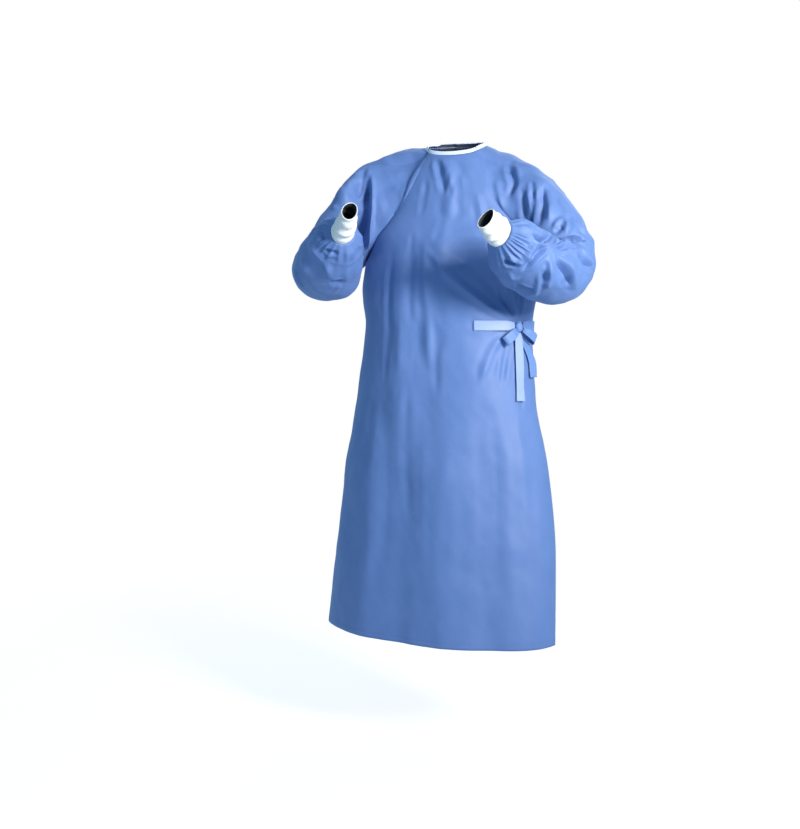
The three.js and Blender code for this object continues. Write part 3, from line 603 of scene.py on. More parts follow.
evenly = np.linspace(-1, 1, FRONT_COLUMNS)
front_us = np.sin(evenly * math.pi / 2) * 0.35 + evenly * 0.65
front_points, _ = panel_points(FRONT_SHAPE, front_us, FRONT_ROWS, 1, FRONT_DRAPE, FRONT_CREASES, FRONT_SEED)
front_out = grid_normals(front_points, 1)
right_allowance = turned_in(front_out[:, 1], front_points[:, 0], front_points[:, 2])
left_allowance = turned_in(front_out[:, -2], front_points[:, -1], front_points[:, -3])
front_cut = np.concatenate([right_allowance[:, None], front_points, left_allowance[:, None]], 1)
front_panel = cloth_wall("front_cloth", front_cut, 1, PANEL_WALL, (gown_blue, gown_inside_painted_shade))
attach(front_panel, "root")
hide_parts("front_panel")
front_hem = inset_line(front_points, 1, HEM_STITCH)
right_seam = inset_line(np.swapaxes(front_points, 0, 1), -1, SEAM_STITCH)
left_seam = inset_line(np.swapaxes(front_points[:, ::-1], 0, 1), 1, SEAM_STITCH)
front_stitches = sew("front_stitches", [front_hem, right_seam, left_seam])

# The two back panels. Each is cut from the same nonwoven with a straight free edge. The wearer's right one
# wraps over the left one, and their edges are turned in once and stitched.
OUTER_EDGE = 14 / 28
INNER_EDGE = -4 / 28
RAMP_END = 22 / 28
LAYER_DROP = 3.0
BACK_SEED = 21
BACK_CREASING = 1.7
BACK_DRAPE = [
    (-120, -380, -170, -1400, 50, 7),
    (-30, -420, -50, -1400, 50, -6),
    (70, -460, 60, -1400, 50, 6),
]
BACK_CREASES = [
    (-6, 12, 1.5, [(-150, 100, -250), (-140, 112, -380), (-132, 118, -520)]),
    (5, 14, 1.6, [(-90, 112, -200), (-96, 112, -360), (-110, 126, -600)]),
    (-5, 12, 1.5, [(-40, 112, -150), (-30, 112, -300), (-46, 118, -470)]),
    (4, 12, 1.6, [(10, 112, -180), (24, 112, -330), (20, 120, -540)]),
    (-5, 12, 1.5, [(70, 108, -220), (62, 110, -360), (74, 120, -560)]),
    (-7, 11, 1.4, [(96, 100, -462), (30, 112, -430), (-30, 112, -380)]),
    (-5, 10, 1.4, [(96, 102, -470), (40, 120, -510), (-20, 128, -580)]),
    (5, 12, 1.5, [(100, 100, -450), (70, 108, -390), (20, 112, -320)]),
    (-6, 15, 1.6, [(-190, 100, -560), (-214, 116, -820), (-236, 130, -1180)]),
    (5, 16, 1.6, [(-110, 126, -640), (-124, 146, -880), (-130, 164, -1190)]),
    (-5, 15, 1.6, [(20, 126, -640), (20, 150, -900), (30, 168, -1190)]),
    (5, 15, 1.6, [(110, 100, -600), (130, 110, -850), (140, 110, -1190)]),
    (-6, 13, 1.5, [(158, 60, -480), (170, 62, -760), (190, 50, -1100)]),
    (-4, 12, 1.5, [(-110, 100, -130), (-60, 108, -170), (0, 112, -180)]),
]
back_points = {}
for name, node, low, high, count, side, width, area in (
    ("back_right", "back_panel_right", -1.0, OUTER_EDGE, 121, -1, 0.63, 0.545),
    ("back_left", "back_panel_left", INNER_EDGE, 1.0, 97, 1, 0.5, 0.412),
):
    us = np.linspace(low, high, count)
    points, normal = panel_points(
        BACK_SHAPE, us, BACK_ROWS, -1, BACK_DRAPE, BACK_CREASES, BACK_SEED, BACK_CREASING
    )
    if name == "back_left":
        drop = LAYER_DROP * smooth((RAMP_END - us) / (RAMP_END - OUTER_EDGE))
        points = points - normal * drop[None, :, None]
    back_points[name] = points
    back = cloth_wall(name + "_cloth", points, -1, PANEL_WALL, (gown_blue, gown_inside_painted_shade))
    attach(back, "root")
    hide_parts(node)
    hem = inset_line(points, -1, HEM_STITCH)
    free_edge = inset_line(np.swapaxes(points[:, ::side], 0, 1), side, EDGE_STITCH)
    seam = inset_line(np.swapaxes(points[:, ::-side], 0, 1), -side, SEAM_STITCH)
    back_stitches = sew(name + "_stitches", [hem, free_edge, seam])

# The raglan sleeves. Each is one cut of the same cloth, joined along the arm's inside, sewn to the body from
# the underarm to the neck, and gathered into its cuff. Both arms are bent, so it bunches at the elbows.
ARM_PLACES = {
    "right": {
        "side": -1, "slope": -0.05,
        "shoulder": (-172, -14, -104), "elbow": (-316, -138, -322),
        "wrist": (-186, -334, -244), "cuff_end": (-151, -394, -204), "broad": (0.25, 0.63, 0.73),
        "centre": (-218, -16, -178), "top": (-248, -18, -60), "front": (-208, -98, -166),
        "under": (-240, -30, -308), "back": (-226, 68, -168),
        "tube": [
            (0, 78, 60, 66, 80), (0.25, 68, 88, 50, 80), (0.45, 66, 98, 47, 84), (0.65, 63, 88, 56, 80),
            (0.86, 56, 62, 52, 58), (0.95, 45, 47, 43, 46), (1, 28.8, 28.8, 33.2, 33.2),
        ],
    },
    "left": {
        "side": 1, "slope": 0.42,
        "shoulder": (172, -14, -112), "elbow": (300, -112, -346),
        "wrist": (168, -304, -255), "cuff_end": (144, -356, -224), "broad": (0.58, 0.2, 0.79),
        "centre": (212, -16, -180), "top": (226, -18, -88), "front": (204, -98, -166),
        "under": (240, -36, -306), "back": (222, 68, -168),
        "tube": [
            (0, 86, 64, 66, 82), (0.25, 76, 82, 50, 75), (0.45, 70, 94, 47, 74), (0.65, 64, 94, 56, 72),
            (0.86, 56, 76, 52, 60), (0.95, 45, 52, 43, 47), (1, 33, 33, 31.6, 31.8),
        ],
    },
}
TUBE_COLUMNS = ("at", "top", "under", "inside", "outside")
NECK_SIDE = (76, 2, -8)
TUBE_START = 0.72
BEND_RADIUS = 56
SWING = 0.18
SEAM_STEPS = 84
SEAM_STEP_IN = 1 / 28
NECK_ARC_STEPS = 24
CAP_RINGS = 70
TUBE_RINGS = 130
# Creases of the sleeves, as on the front. Two widths are those to the left and to the right of its run.
SLEEVE_CREASES = {
    "right": [
        (-27, (6, 32), 1.9, [
            (-202, -62, -72), (-199, -90, -133), (-199, -94, -172), (-206, -89, -222), (-214, -80, -268),
            (-220, -66, -310),
        ]),
        (-8, (8, 12), 1.3, [(-217, -48, -60), (-220, -74, -87), (-226, -92, -117), (-223, -99, -139)]),
        (4.5, 6, 1.3, [(-203, -75, -93), (-212, -91, -125), (-220, -101, -147)]),
        (4.5, (8, 20), 1.2, [(-266, -85, -110), (-252, -105, -134), (-242, -114, -153)]),
        (3, 6, 1.2, [(-283, -115, -155), (-271, -125, -165), (-259, -131, -174)]),
        (-5, 5, 1.2, [(-248, -327, -232), (-265, -313, -242), (-277, -306, -253)]),
        (-6, 7, 1.2, [(-234, -338, -233), (-230, -347, -251), (-227, -350, -267)]),
        (4, (8, 22), 1.3, [(-270, -318, -260), (-249, -332, -289), (-231, -319, -317), (-232, -286, -348)]),
        (3, (24, 8), 1.3, [(-222, -334, -299), (-226, -310, -326), (-229, -285, -348)]),
        (-8, (4, 7), 1.1, [(-227, -343, -281), (-210, -343, -286), (-189, -338, -288)]),
        (2.5, (10, 8), 1.3, [(-298, -294, -292), (-292, -297, -314), (-289, -283, -338)]),
        (-6, 8, 1.2, [(-322, -262, -314), (-320, -254, -340), (-314, -236, -362)]),
        (-6, (5, 12), 1.2, [(-232, -285, -349), (-217, -277, -351), (-201, -271, -345)]),
        (2.5, 6, 1.2, [(-240, -236, -375), (-218, -258, -359), (-201, -270, -347)]),
        (3, 9, 1.5, [(-184, -300, -316), (-194, -280, -338), (-204, -250, -358)]),
        (-9, 12, 1.2, [(-262, -110, -190), (-290, -130, -240), (-318, -150, -300)]),
        (5, (14, 8), 1.3, [(-290, -96, -160), (-316, -110, -210), (-344, -130, -270)]),
        (-5, 9, 1.2, [(-252, -168, -263), (-266, -184, -268), (-300, -210, -268)]),
        (-5, 9, 1.2, [(-244, -184, -304), (-254, -208, -324), (-270, -240, -352)]),
        (5, 10, 1.3, [(-250, -162, -332), (-262, -175, -360), (-280, -190, -390)]),
        (-8, 12, 1.3, [(-330, -60, -220), (-350, -80, -280), (-352, -120, -340)]),
        (-9, 12, 1.3, [(-240, 50, -120), (-282, 30, -190), (-320, 0, -260)]),
        (5, 12, 1.3, [(-220, 60, -190), (-262, 40, -260), (-300, 10, -330)]),
    ],
    "left": [
        (-9, 9, 1.4, [(134, -32, -55), (150, -60, -86), (156, -77, -116), (145, -84, -147)]),
        (4.5, 12, 1.5, [(112, -70, -100), (124, -84, -140), (130, -92, -190)]),
        (7.5, (14, 9), 1.2, [(269, -274, -303), (266, -264, -334), (260, -230, -369)]),
        (3.5, 6, 1.2, [(265, -277, -299), (258, -276, -325), (242, -250, -360), (228, -200, -388)]),
        (7.5, (20, 13), 1.3, [(297, -235, -291), (310, -221, -332), (317, -179, -373)]),
        (3.5, 6, 1.2, [(275, -265, -288), (287, -250, -324), (301, -202, -371)]),
        (-6, 8, 1.2, [(263, -278, -308), (260, -269, -334), (251, -246, -360)]),
        (-7, (9, 12), 1.2, [(281, -259, -298), (291, -245, -324), (303, -220, -352), (309, -200, -366)]),
        (-9, (6, 9), 1.2, [(267, -269, -274), (248, -294, -299), (226, -295, -323), (211, -288, -335)]),
        (4, (6, 10), 1.3, [(241, -299, -268), (235, -303, -300), (222, -300, -319)]),
        (-9, (4, 6), 1.1, [(172, -307, -312), (186, -305, -318), (203, -302, -321)]),
        (4, 6, 1.2, [(183, -314, -301), (199, -308, -313), (220, -300, -319)]),
        (3, 6, 1.2, [(183, -287, -334), (191, -271, -348), (207, -278, -344)]),
        (-9, (5, 14), 1.2, [(193, -254, -360), (213, -240, -369), (235, -234, -372)]),
        (-6, (6, 9), 1.2, [(180, -84, -126), (186, -92, -165), (188, -97, -215)]),
        (-4, 6, 1.2, [(202, -79, -109), (206, -94, -140), (209, -99, -162)]),
        (-8, (12, 9), 1.2, [(229, -82, -120), (231, -107, -163), (227, -118, -201), (224, -118, -235)]),
        (3, (7, 6), 1.3, [(195, -81, -112), (201, -97, -166), (210, -98, -203)]),
        (4, (14, 6), 1.3, [(235, -86, -127), (248, -116, -183), (249, -131, -215)]),
        (-12, 6, 1.1, [(208, -98, -195), (208, -102, -215), (206, -104, -238)]),
        (-14, 6, 1.1, [(234, -299, -251), (247, -290, -263), (260, -274, -265), (271, -231, -251)]),
        (-7, 7, 1.2, [(262, -134, -236), (272, -140, -232), (282, -136, -220)]),
        (4, 6, 1.2, [
            (254, -139, -234), (268, -132, -213), (280, -124, -203), (291, -128, -214), (287, -145, -243),
        ]),
        (-12, 6, 1.2, [(275, -256, -270), (282, -237, -265), (289, -213, -261)]),
        (-8, 7, 1.3, [
            (290, -144, -255), (301, -143, -255), (310, -141, -255), (320, -138, -255), (336, -124, -255),
        ]),
        (2.5, 7, 1.3, [(301, -193, -266), (309, -149, -264), (321, -145, -262), (338, -128, -262)]),
        (-9, 7, 1.2, [
            (275, -261, -280), (292, -234, -278), (300, -218, -276), (308, -202, -275), (323, -163, -273),
        ]),
        (3, (6, 7), 1.3, [(276, -263, -285), (302, -218, -281), (322, -194, -291)]),
        (-8, (6, 9), 1.2, [
            (319, -196, -289), (326, -191, -296), (333, -183, -303), (346, -160, -315), (352, -138, -328),
        ]),
        (4, (12, 7), 1.3, [(322, -176, -276), (336, -168, -290), (347, -152, -302), (356, -132, -314)]),
        (4.5, 9, 1.4, [(300, -120, -170), (322, -112, -210), (336, -112, -250)]),
        (-8, 10, 1.3, [(276, -90, -140), (306, -96, -180), (326, -100, -220)]),
        (-8, 12, 1.3, [(330, -60, -240), (340, -80, -290), (336, -110, -350)]),
        (-9, 12, 1.3, [(240, 50, -130), (276, 36, -200), (306, 6, -270)]),
        (5, 12, 1.3, [(220, 60, -200), (256, 44, -270), (290, 10, -340)]),
        (-9, 10, 1.3, [(206, -150, -290), (226, -190, -320), (236, -230, -350)]),
    ],
}


def shared_arm(arm):
    """The arm's line: straight, then an arc about the inside of the elbow, then straight. And the way up
    across it."""
    shoulder, elbow, wrist = (np.array(arm[k], float) for k in ("shoulder", "elbow", "wrist"))
    upper = unit(elbow - shoulder)
    lower = unit(wrist - elbow)
    bend = math.acos(float(upper @ lower))
    axis = unit(np.cross(upper, lower))
    set_back = BEND_RADIUS * math.tan(bend / 2)
    start = shoulder + (elbow - shoulder) * TUBE_START
    bend_start = elbow - upper * set_back
    first = np.linalg.norm(bend_start - start)
    arc = BEND_RADIUS * bend
    last = np.linalg.norm(wrist - elbow - lower * set_back)
    pivot = bend_start + np.cross(axis, upper) * BEND_RADIUS

    def line(share):
        s = share * (first + arc + last)
        angle = np.clip((s - first) / arc, 0, 1) * bend
        along = upper * math.cos(angle) + np.cross(axis, upper) * math.sin(angle)
        inside = np.cross(axis, along)
        centre = pivot - inside * BEND_RADIUS
        if s < first:
            centre = start + upper * s
        if s > first + arc:
            centre = elbow + lower * (set_back + s - first - arc)
        return centre, inside, along

    return line, -axis * arm["side"]


def tube_width(arm, column, share):
    rows = arm["tube"]
    ats = [row[0] for row in rows]
    i = max(0, int(np.searchsorted(ats, share + 1e-9)) - 1)
    i = min(i, len(rows) - 2)
    t = i + (share - ats[i]) / (ats[i + 1] - ats[i])
    return float(along_rows([row[TUBE_COLUMNS.index(column)] for row in rows], np.array([t]))[0])


def tube_ring(arm, line, top, turns, share):
    """One ring of the sleeve. A turn of 0 is the underarm, a quarter the inside of the elbow, and a half the
    top."""
    centre, inside, _ = line(share)
    c = -np.cos(turns * 2 * math.pi)
    s = np.sin(turns * 2 * math.pi)
    tall = np.where(c > 0, tube_width(arm, "top", share), tube_width(arm, "under", share))
    deep = np.where(s > 0, tube_width(arm, "inside", share), tube_width(arm, "outside", share))
    return centre + top * (c * tall)[:, None] + inside * (s * deep)[:, None]


def seam_ring(arm):
    """The raglan seam: up the front, over the neckline, and down the back. Places, normals, and rise."""
    side = arm["side"]
    t = np.linspace(UNDERARM, NECK, SEAM_STEPS + 1)
    front = body_point(FRONT_SHAPE, side, t)
    back = body_point(BACK_SHAPE, side, t)
    near = side * (1 - SEAM_STEP_IN)
    front_way = unit(front - body_point(FRONT_SHAPE, near, t))
    back_way = unit(back - body_point(BACK_SHAPE, near, t))
    front_n = unit(np.cross(front_way, np.gradient(front, axis=0))) * side
    back_n = unit(np.cross(back_way, np.gradient(back, axis=0))) * -side
    top = np.array(NECK_SIDE, float) * (side, 1, 1)
    middle = 2 * top - (front[-1] + back[-1]) / 2
    s = np.linspace(0, 1, NECK_ARC_STEPS + 1)[1:-1, None]
    neckline = front[-1] * (1 - s) ** 2 + middle * 2 * s * (1 - s) + back[-1] * s * s
    neck_n = np.repeat(unit(np.array([[side * arm["slope"], 0, 1.0]])), len(neckline), 0)
    rise = np.linspace(0, 1, SEAM_STEPS + 1)
    places = np.vstack([front, neckline, back[:0:-1]])
    normals = np.vstack([front_n, neck_n, back_n[:0:-1]])
    rises = np.concatenate([rise, np.ones(len(neckline)), rise[:0:-1]])
    return places, normals, rises


def sleeve_points(arm):
    line, top = shared_arm(arm)
    p, n, up = seam_ring(arm)
    lengths = np.linalg.norm(np.roll(p, -1, 0) - p, axis=1)
    half = SEAM_STEPS + NECK_ARC_STEPS // 2
    run = np.concatenate([[0], np.cumsum(lengths)])
    turns = np.where(
        np.arange(len(p)) <= half,
        0.5 * run[:-1] / run[half],
        0.5 + 0.5 * (run[:-1] - run[half]) / (run[-1] - run[half]),
    )

    def swung(share):
        return turns - share * SWING * np.cos(turns * math.pi) ** 2

    ring = {k: np.array(arm[k], float) for k in ("centre", "top", "front", "under", "back")}
    c = -np.cos(swung(0.4) * 2 * math.pi)[:, None]
    s = np.sin(swung(0.4) * 2 * math.pi)[:, None]
    upright = np.where(c > 0, ring["top"] - ring["centre"], ring["under"] - ring["centre"]) * np.abs(c)
    level = np.where(s > 0, ring["front"] - ring["centre"], ring["back"] - ring["centre"]) * np.abs(s)
    crown = ring["centre"] + upright + level
    end = tube_ring(arm, line, top, swung(1), 0)
    leave = unit(crown - p)
    leave = unit(leave - n * (np.sum(n * leave, 1) * smooth(up * 2.2))[:, None])
    start = p + leave * SEAM_GAP / 2
    through = (end - start) * 0.5
    tube_way = line(0)[2]
    arrive = tube_way * ((end - crown) @ tube_way)[:, None]
    leaving = leave * np.linalg.norm(crown - start, axis=1)[:, None]
    rows = []
    for t in np.linspace(0, 1, CAP_RINGS, endpoint=False):
        if t < 0.5:
            rows.append(bridge(start, leaving, crown, through, 2 * t))
        else:
            rows.append(bridge(crown, through, end, arrive, 2 * t - 1))
    for share in np.linspace(0, 1, TUBE_RINGS):
        rows.append(tube_ring(arm, line, top, swung(1), share))
    return np.array(rows), turns


SLEEVE_CREASING = 1.8
# Waves over a sleeve: size, height, seed.
SLEEVE_RIPPLES = ((84, 2.4, 31), (44, 0.5, 41))
# Rows from the raglan seam to loose cloth, and how fast creases fade at the cuff.
HELD_ROWS = 8
CUFF_FADE = 14
GATHERS = 17
GATHER_HEIGHT = 4.4
GATHER_WIDTH = 0.014
GATHER_SEED = 51
TUCK_IN = 4
TUCK_ON = 0.6
for name, arm in ARM_PLACES.items():
    outward = -arm["side"]
    points, turns = sleeve_points(arm)
    normal = grid_normals(points, outward, around=True)
    cap_share = np.linspace(-0.5, 0, CAP_RINGS, endpoint=False)
    ring_share = np.concatenate([cap_share, np.linspace(0, 1, TUBE_RINGS)])
    held = smooth(np.arange(len(points)) / HELD_ROWS) * smooth((1 - ring_share) * CUFF_FADE)
    wrinkle = SLEEVE_CREASING * crease(points, SLEEVE_CREASES[name], normal)
    for size, depth, seed in SLEEVE_RIPPLES:
        wrinkle = wrinkle + ripple(points, size, depth, seed + arm["side"])
    # Gathers: uneven small pleats that run up from the cuff seam and die out over 60 mm. They are full a
    # little above the seam, which draws three quarters of their height in.
    spin = np.random.default_rng(GATHER_SEED + arm["side"])
    fullness = smooth((ring_share - 0.8) / 0.12) * (1 - 0.75 * smooth((ring_share - 0.93) / 0.07))
    pleats = np.zeros_like(wrinkle)
    for k in range(GATHERS):
        centre = (k + spin.uniform(-0.3, 0.3)) / GATHERS
        lean = spin.uniform(-0.05, 0.05)
        reach = spin.uniform(0.6, 1.25)
        around_at = (turns[None, :] - centre - lean * (1 - ring_share[:, None]) * 3 + 0.5) % 1 - 0.5
        grow = smooth((ring_share - 1 + 0.2 * reach) / (0.12 * reach))[:, None]
        pleats += GATHER_HEIGHT * np.exp(-((around_at / GATHER_WIDTH) ** 2)) * grow
    pleats = (pleats - pleats.mean(1, keepdims=True)) * fullness[:, None]
    points = points + normal * (wrinkle * held[:, None] + pleats)[..., None]
    allowance = turned_in(grid_normals(points, outward, around=True)[1], points[0], points[2])
    inwards = unit(points[-1].mean(0) - points[-1])
    tuck = points[-1] + inwards * TUCK_IN + unit(points[-1] - points[-3]) * TUCK_ON
    sleeve_cut = np.vstack([allowance[None], points, tuck[None]])
    cloths = (gown_blue, gown_inside_painted_shade)
    sleeve = cloth_wall("sleeve_" + name + "_cloth", sleeve_cut, outward, PANEL_WALL, cloths, around=True)
    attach(sleeve, "root")
    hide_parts("sleeve_" + name)
    raglan_seam = inset_line(points, outward, SEAM_STITCH, around=True)
    seam_stitches = sew("sleeve_" + name + "_stitches", [raglan_seam])

# The knit cuffs. Each is a tube of white rib knit, sewn into the gathered sleeve end, pushed up so that it
# stands in shallow rings round the wrist.
CUFF_TUCK = 5
CUFF_RIBS = 64
RIB_HEIGHT = 0.28
SLUMP_HEIGHT = 1.5
CUFF_WALL = 1.8
CUFF_ROWS = 56
CUFF_SHARES = (0, 0.12, 0.26, 0.38, 0.5, 0.62, 0.76, 1)
CUFF_BROAD = (29.6, 30.2, 30, 30.6, 27.6, 28, 26, 24.8)
CUFF_NARROW = (25, 25.4, 25, 24.6, 21.8, 22, 19, 17)
knit_white, tree, shader = new_material("knit_white")
knit_map = add_node(tree, "ShaderNodeUVMap", {}, uv_map="cloth").outputs[0]
given = {"Vector": knit_map, "Scale": 110, "Distortion": 2.2, "Detail": 2}
loops = add_node(tree, "ShaderNodeTexWave", given, wave_type="BANDS", bands_direction="Y").outputs["Fac"]
wool = noise(tree, knit_map, scale=420, detail=4)
height = numbers(tree, "ADD", numbers(tree, "MULTIPLY", loops, 0.6), numbers(tree, "MULTIPLY", wool, 0.6))
feed(tree, shader, {
    "Base Color": ramp(tree, wool, (0.3, (0.66, 0.66, 0.655)), (0.62, (0.88, 0.88, 0.87))),
    "Normal": bump(tree, height, strength=0.5, distance=0.0006),
    "Roughness": 0.9,
    "Sheen Weight": 0.3,
    "Sheen Roughness": 0.6,
})
# Painted shade: the inside of the white cuff is a near-black grey. It stands in for the shade inside the
# cuff tube; the knit itself is white.
knit_inside_painted_shade, tree, shader = new_material("knit_inside_painted_shade")
painted_shade_noise = add_node(tree, "ShaderNodeTexNoise", {"Scale": 380}).outputs["Fac"]
shade = ramp(tree, painted_shade_noise, (0, (0.014, 0.015, 0.018)), (1, (0.06, 0.062, 0.07)))
feed(tree, shader, {"Base Color": shade, "Roughness": 0.95})
angle = np.arange(CUFF_RIBS * 4) / (CUFF_RIBS * 4) * 2 * math.pi
for name, arm in ARM_PLACES.items():
    wrist = np.array(arm["wrist"], float)
    way = unit(np.array(arm["cuff_end"], float) - wrist)
    start = wrist - way * CUFF_TUCK
    length = np.linalg.norm(np.array(arm["cuff_end"], float) - start)
    broad = np.array(arm["broad"], float)
    broad = unit(broad - way * (broad @ way))
    narrow = np.cross(broad, way)
    rows = []
    for share in np.linspace(0, 1, CUFF_ROWS):
        t = np.array([np.interp(share, CUFF_SHARES, range(len(CUFF_SHARES)))])
        # Ribs that end flat, rings of slack, and an uneven lean.
        rib = RIB_HEIGHT * np.cos(angle * CUFF_RIBS) * smooth((1 - share) * 12)
        slump = SLUMP_HEIGHT * np.sin(share * 19 + 1.4 * np.sin(angle + 0.6))
        slump = slump * smooth(share * 5) * smooth((1 - share) * 5)
        lean = 0.8 * np.sin(angle * 2 + share * 3.5) * smooth(share * 4)
        broad_reach = (along_rows(CUFF_BROAD, t) + rib + slump + lean) * np.cos(angle)
        narrow_reach = (along_rows(CUFF_NARROW, t) + rib + slump + lean) * np.sin(angle)
        lift = way * (1.2 * np.sin(angle * 2 + 0.8) * smooth(share * 2))[:, None]
        ring = start + way * share * length + broad * broad_reach[:, None] + narrow * narrow_reach[:, None]
        rows.append(ring + lift)
    # The inner face takes the painted shade of the cuff's inside.
    cloths = (knit_white, knit_inside_painted_shade)
    cuff = cloth_wall("cuff_" + name + "_knit", np.array(rows), -1, CUFF_WALL, cloths, around=True)
    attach(cuff, "root")
    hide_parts("cuff_" + name)

# The neck binding. A pale bias strip folded over the raw neck edge, from one back edge round to the other.
BINDING_WIDTH = 10
BINDING_OUT = 0.5
BINDING_CROWN = 0.6
binding_pale = cloth_material(
    "binding_pale", (0.62, 0.7, 0.86), (0.74, 0.8, 0.9), spacing=0.0016, sheen=0.1
)
neck_panels = {
    "back_left": (back_points["back_left"], -1),
    "front": (front_points[:, ::-1], 1),
    "back_right": (back_points["back_right"], -1),
}
edge_places = []
edge_below = []
edge_out = []
for stretch in ("back_left", "left", "front", "right", "back_right"):
    if stretch in ARM_PLACES:
        arm = ARM_PLACES[stretch]
        side = arm["side"]
        places = seam_ring(arm)[0][SEAM_STEPS + 1 : SEAM_STEPS + NECK_ARC_STEPS][::-side]
        level = np.ones(len(places))
        edge_places.append(places)
        edge_below.append(places + unit(np.array([side, 0, -arm["slope"]])))
        edge_out.append(unit(np.stack([level * side, places[:, 1] / NECK_SIDE[0], level * 0.4], 1)))
    else:
        points, outward = neck_panels[stretch]
        edge_places.append(points[-1])
        edge_below.append(points[-4])
        edge_out.append(grid_normals(points, outward)[-1])
edge_places = np.vstack(edge_places)
edge_below = np.vstack(edge_below)
edge_out = np.vstack(edge_out)
middle_of_neck = np.array([0, 10, 0])
outwards = (edge_places - middle_of_neck) * (1, 1, 0)
edge_out = edge_out * np.sign(np.sum(edge_out * outwards, 1, keepdims=True))
edge_up = unit(unit(edge_places - edge_below) + (0, 0, 0.8))
edge_out = unit(edge_out - edge_up * np.sum(edge_out * edge_up, 1, keepdims=True))
for _ in range(3):
    edge_out[1:-1] = unit(edge_out[:-2] + edge_out[1:-1] + edge_out[2:])
    edge_up[1:-1] = unit(edge_up[:-2] + edge_up[1:-1] + edge_up[2:])
rows = []
for share in np.linspace(0, 1, 9):
    crown = BINDING_CROWN * math.sin(math.pi * share) ** 0.5
    rise = SEAM_GAP + (BINDING_WIDTH - SEAM_GAP) * share
    rows.append(edge_places + edge_up * rise + edge_out * (BINDING_OUT + crown))
binding_wall = PANEL_WALL + 2 * BINDING_OUT + BINDING_CROWN
# The binding's inner face takes the painted shade of the gown's inside.
cloths = (binding_pale, gown_inside_painted_shade)
binding = cloth_wall("neck_binding_strip", np.array(rows), -1, binding_wall, cloths)
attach(binding, "root")
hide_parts("neck_binding")

# The belt: two ties of the gown's cloth, folded and welded into a paler band, tied in a bow at the wearer's
# left. The front one is bar-tacked to the front panel, and the other comes round from the back edge.
BELT_WIDTH = 24
TAPE = 1.2
ON_CLOTH = 1 + 0.7
PUCKER_HEIGHT = 3.0
WELD_DEPTH = 0.35
belt_pale = cloth_material("belt_pale", (0.23, 0.33, 0.63), (0.29, 0.39, 0.68), spacing=0.0018, sheen=0.12)
belt_deep = cloth_material("belt_deep", (0.1, 0.2, 0.47), (0.13, 0.24, 0.52), spacing=0.0018, sheen=0.1)
# A belt's way over the cloth: place round the waist and height, lift off the cloth, how its width is turned
# and tilted in degrees, and the share of its width that shows.
BAND_COLUMNS = ("w", "z", "lift", "turn", "tilt", "share")
BANDS = {
    "front_tie": [
        (0.285, BELT_HEIGHT, ON_CLOTH, 90, 0, 1), (0.45, BELT_HEIGHT, ON_CLOTH + 0.6, 90, 0, 1),
        (0.56, BELT_HEIGHT, ON_CLOTH + 2, 90, 0, 1), (0.628, BELT_HEIGHT, 9, 90, 0, 0.55),
    ],
    "side_tie": [
        (0.721, -448, 9.2, 90, 0, 0.5), (0.82, -448, ON_CLOTH + 2, 90, 0, 0.9),
        (1, -449, ON_CLOTH + 1, 90, 0, 1), (1.25, -453, ON_CLOTH + 0.8, 90, 0, 1),
        (1.56, -456, ON_CLOTH + 0.6, 90, 0, 1),
    ],
    "bow_loop_front": [
        (0.6475, -460.8, 13.6, 130, 0, 0.45), (0.6, -472, 20, 130, 0, 0.9), (0.552, -484, 20, 130, 0, 1),
        (0.53, -490, 14, 130, 0, 1), (0.55, -485, 8.5, 130, 0, 1), (0.6, -473, 7.5, 130, 0, 0.9),
        (0.643, -462.2, 7.5, 130, 0, 0.45),
    ],
    "bow_loop_side": [
        (0.709, -460, 14, 50, 0, 0.45), (0.77, -470, 21, 50, 0, 0.9), (0.835, -480, 22, 50, 0, 1),
        (0.865, -486, 16, 50, 0, 1), (0.84, -483, 10, 50, 0, 1), (0.77, -472, 8, 50, 0, 0.9),
        (0.713, -461.5, 7.5, 50, 0, 0.45),
    ],
    "bow_tail_front": [
        (0.678, -467, 7.5, 0, 0, 0.5), (0.685, -484, 5.2, 0, 0, 0.95), (0.69, -540, 5.2, 0, 4, 1),
        (0.685, -590, 5, 0, -4, 1), (0.68, -630, 6, 0, 4, 1),
    ],
    "bow_tail_side": [
        (0.703, -466, 4.5, -20, 0, 0.4), (0.76, -487, 2.4, -20, 0, 0.8), (0.84, -515, 4, -10, 6, 1),
        (0.88, -545, 7, -6, 20, 1), (0.885, -574, 7, 0, 14, 1),
    ],
}
# Each length of belt: its cut in metres, how it is held, and its steps along.
BAND_CUTS = {
    "front_tie": (0.105, "stretched", 60),
    "side_tie": (0.205, "stretched", 110),
    "bow_loop_front": (0.098, "folded", 60),
    "bow_loop_side": (0.112, "folded", 60),
    "bow_tail_front": (0.17, "hung", 60),
    "bow_tail_side": (0.125, "hung", 60),
}
level_t = np.linspace(0, UNDERARM, 600)
level_z = along_rows(FRONT_SHAPE["side_z"], level_t, UNDERARM)


def waist_point(w, z):
    """A place on the cloth: w from -1 to 1 over the front from the right seam, and on over the back."""
    step = 0.02
    t = np.interp(z, level_z, level_t)
    rows = np.array([t - step, t, t + step])
    shape, u, folds, outward = FRONT_SHAPE, w, FRONT_DRAPE, 1
    if w > 1:
        shape, u, folds, outward = BACK_SHAPE, 2 - w, BACK_DRAPE, -1
    us = np.clip(np.array([u - step, u, u + step]), -1, 1)
    form = body_point(shape, us[None, :], rows[:, None])
    normal = grid_normals(form, outward)[1, 1]
    p = body_point(shape, u, t)
    return p + normal * drape(p, folds) * smooth((1 - abs(u)) * DRAPE_FADE)


def waist_frame(w, z):
    p = waist_point(w, z)
    across = unit(waist_point(w + 0.03, z) - waist_point(w - 0.03, z))
    up = unit(waist_point(w, z + 5) - waist_point(w, z - 5))
    return p, across, up, unit(np.cross(across, up))


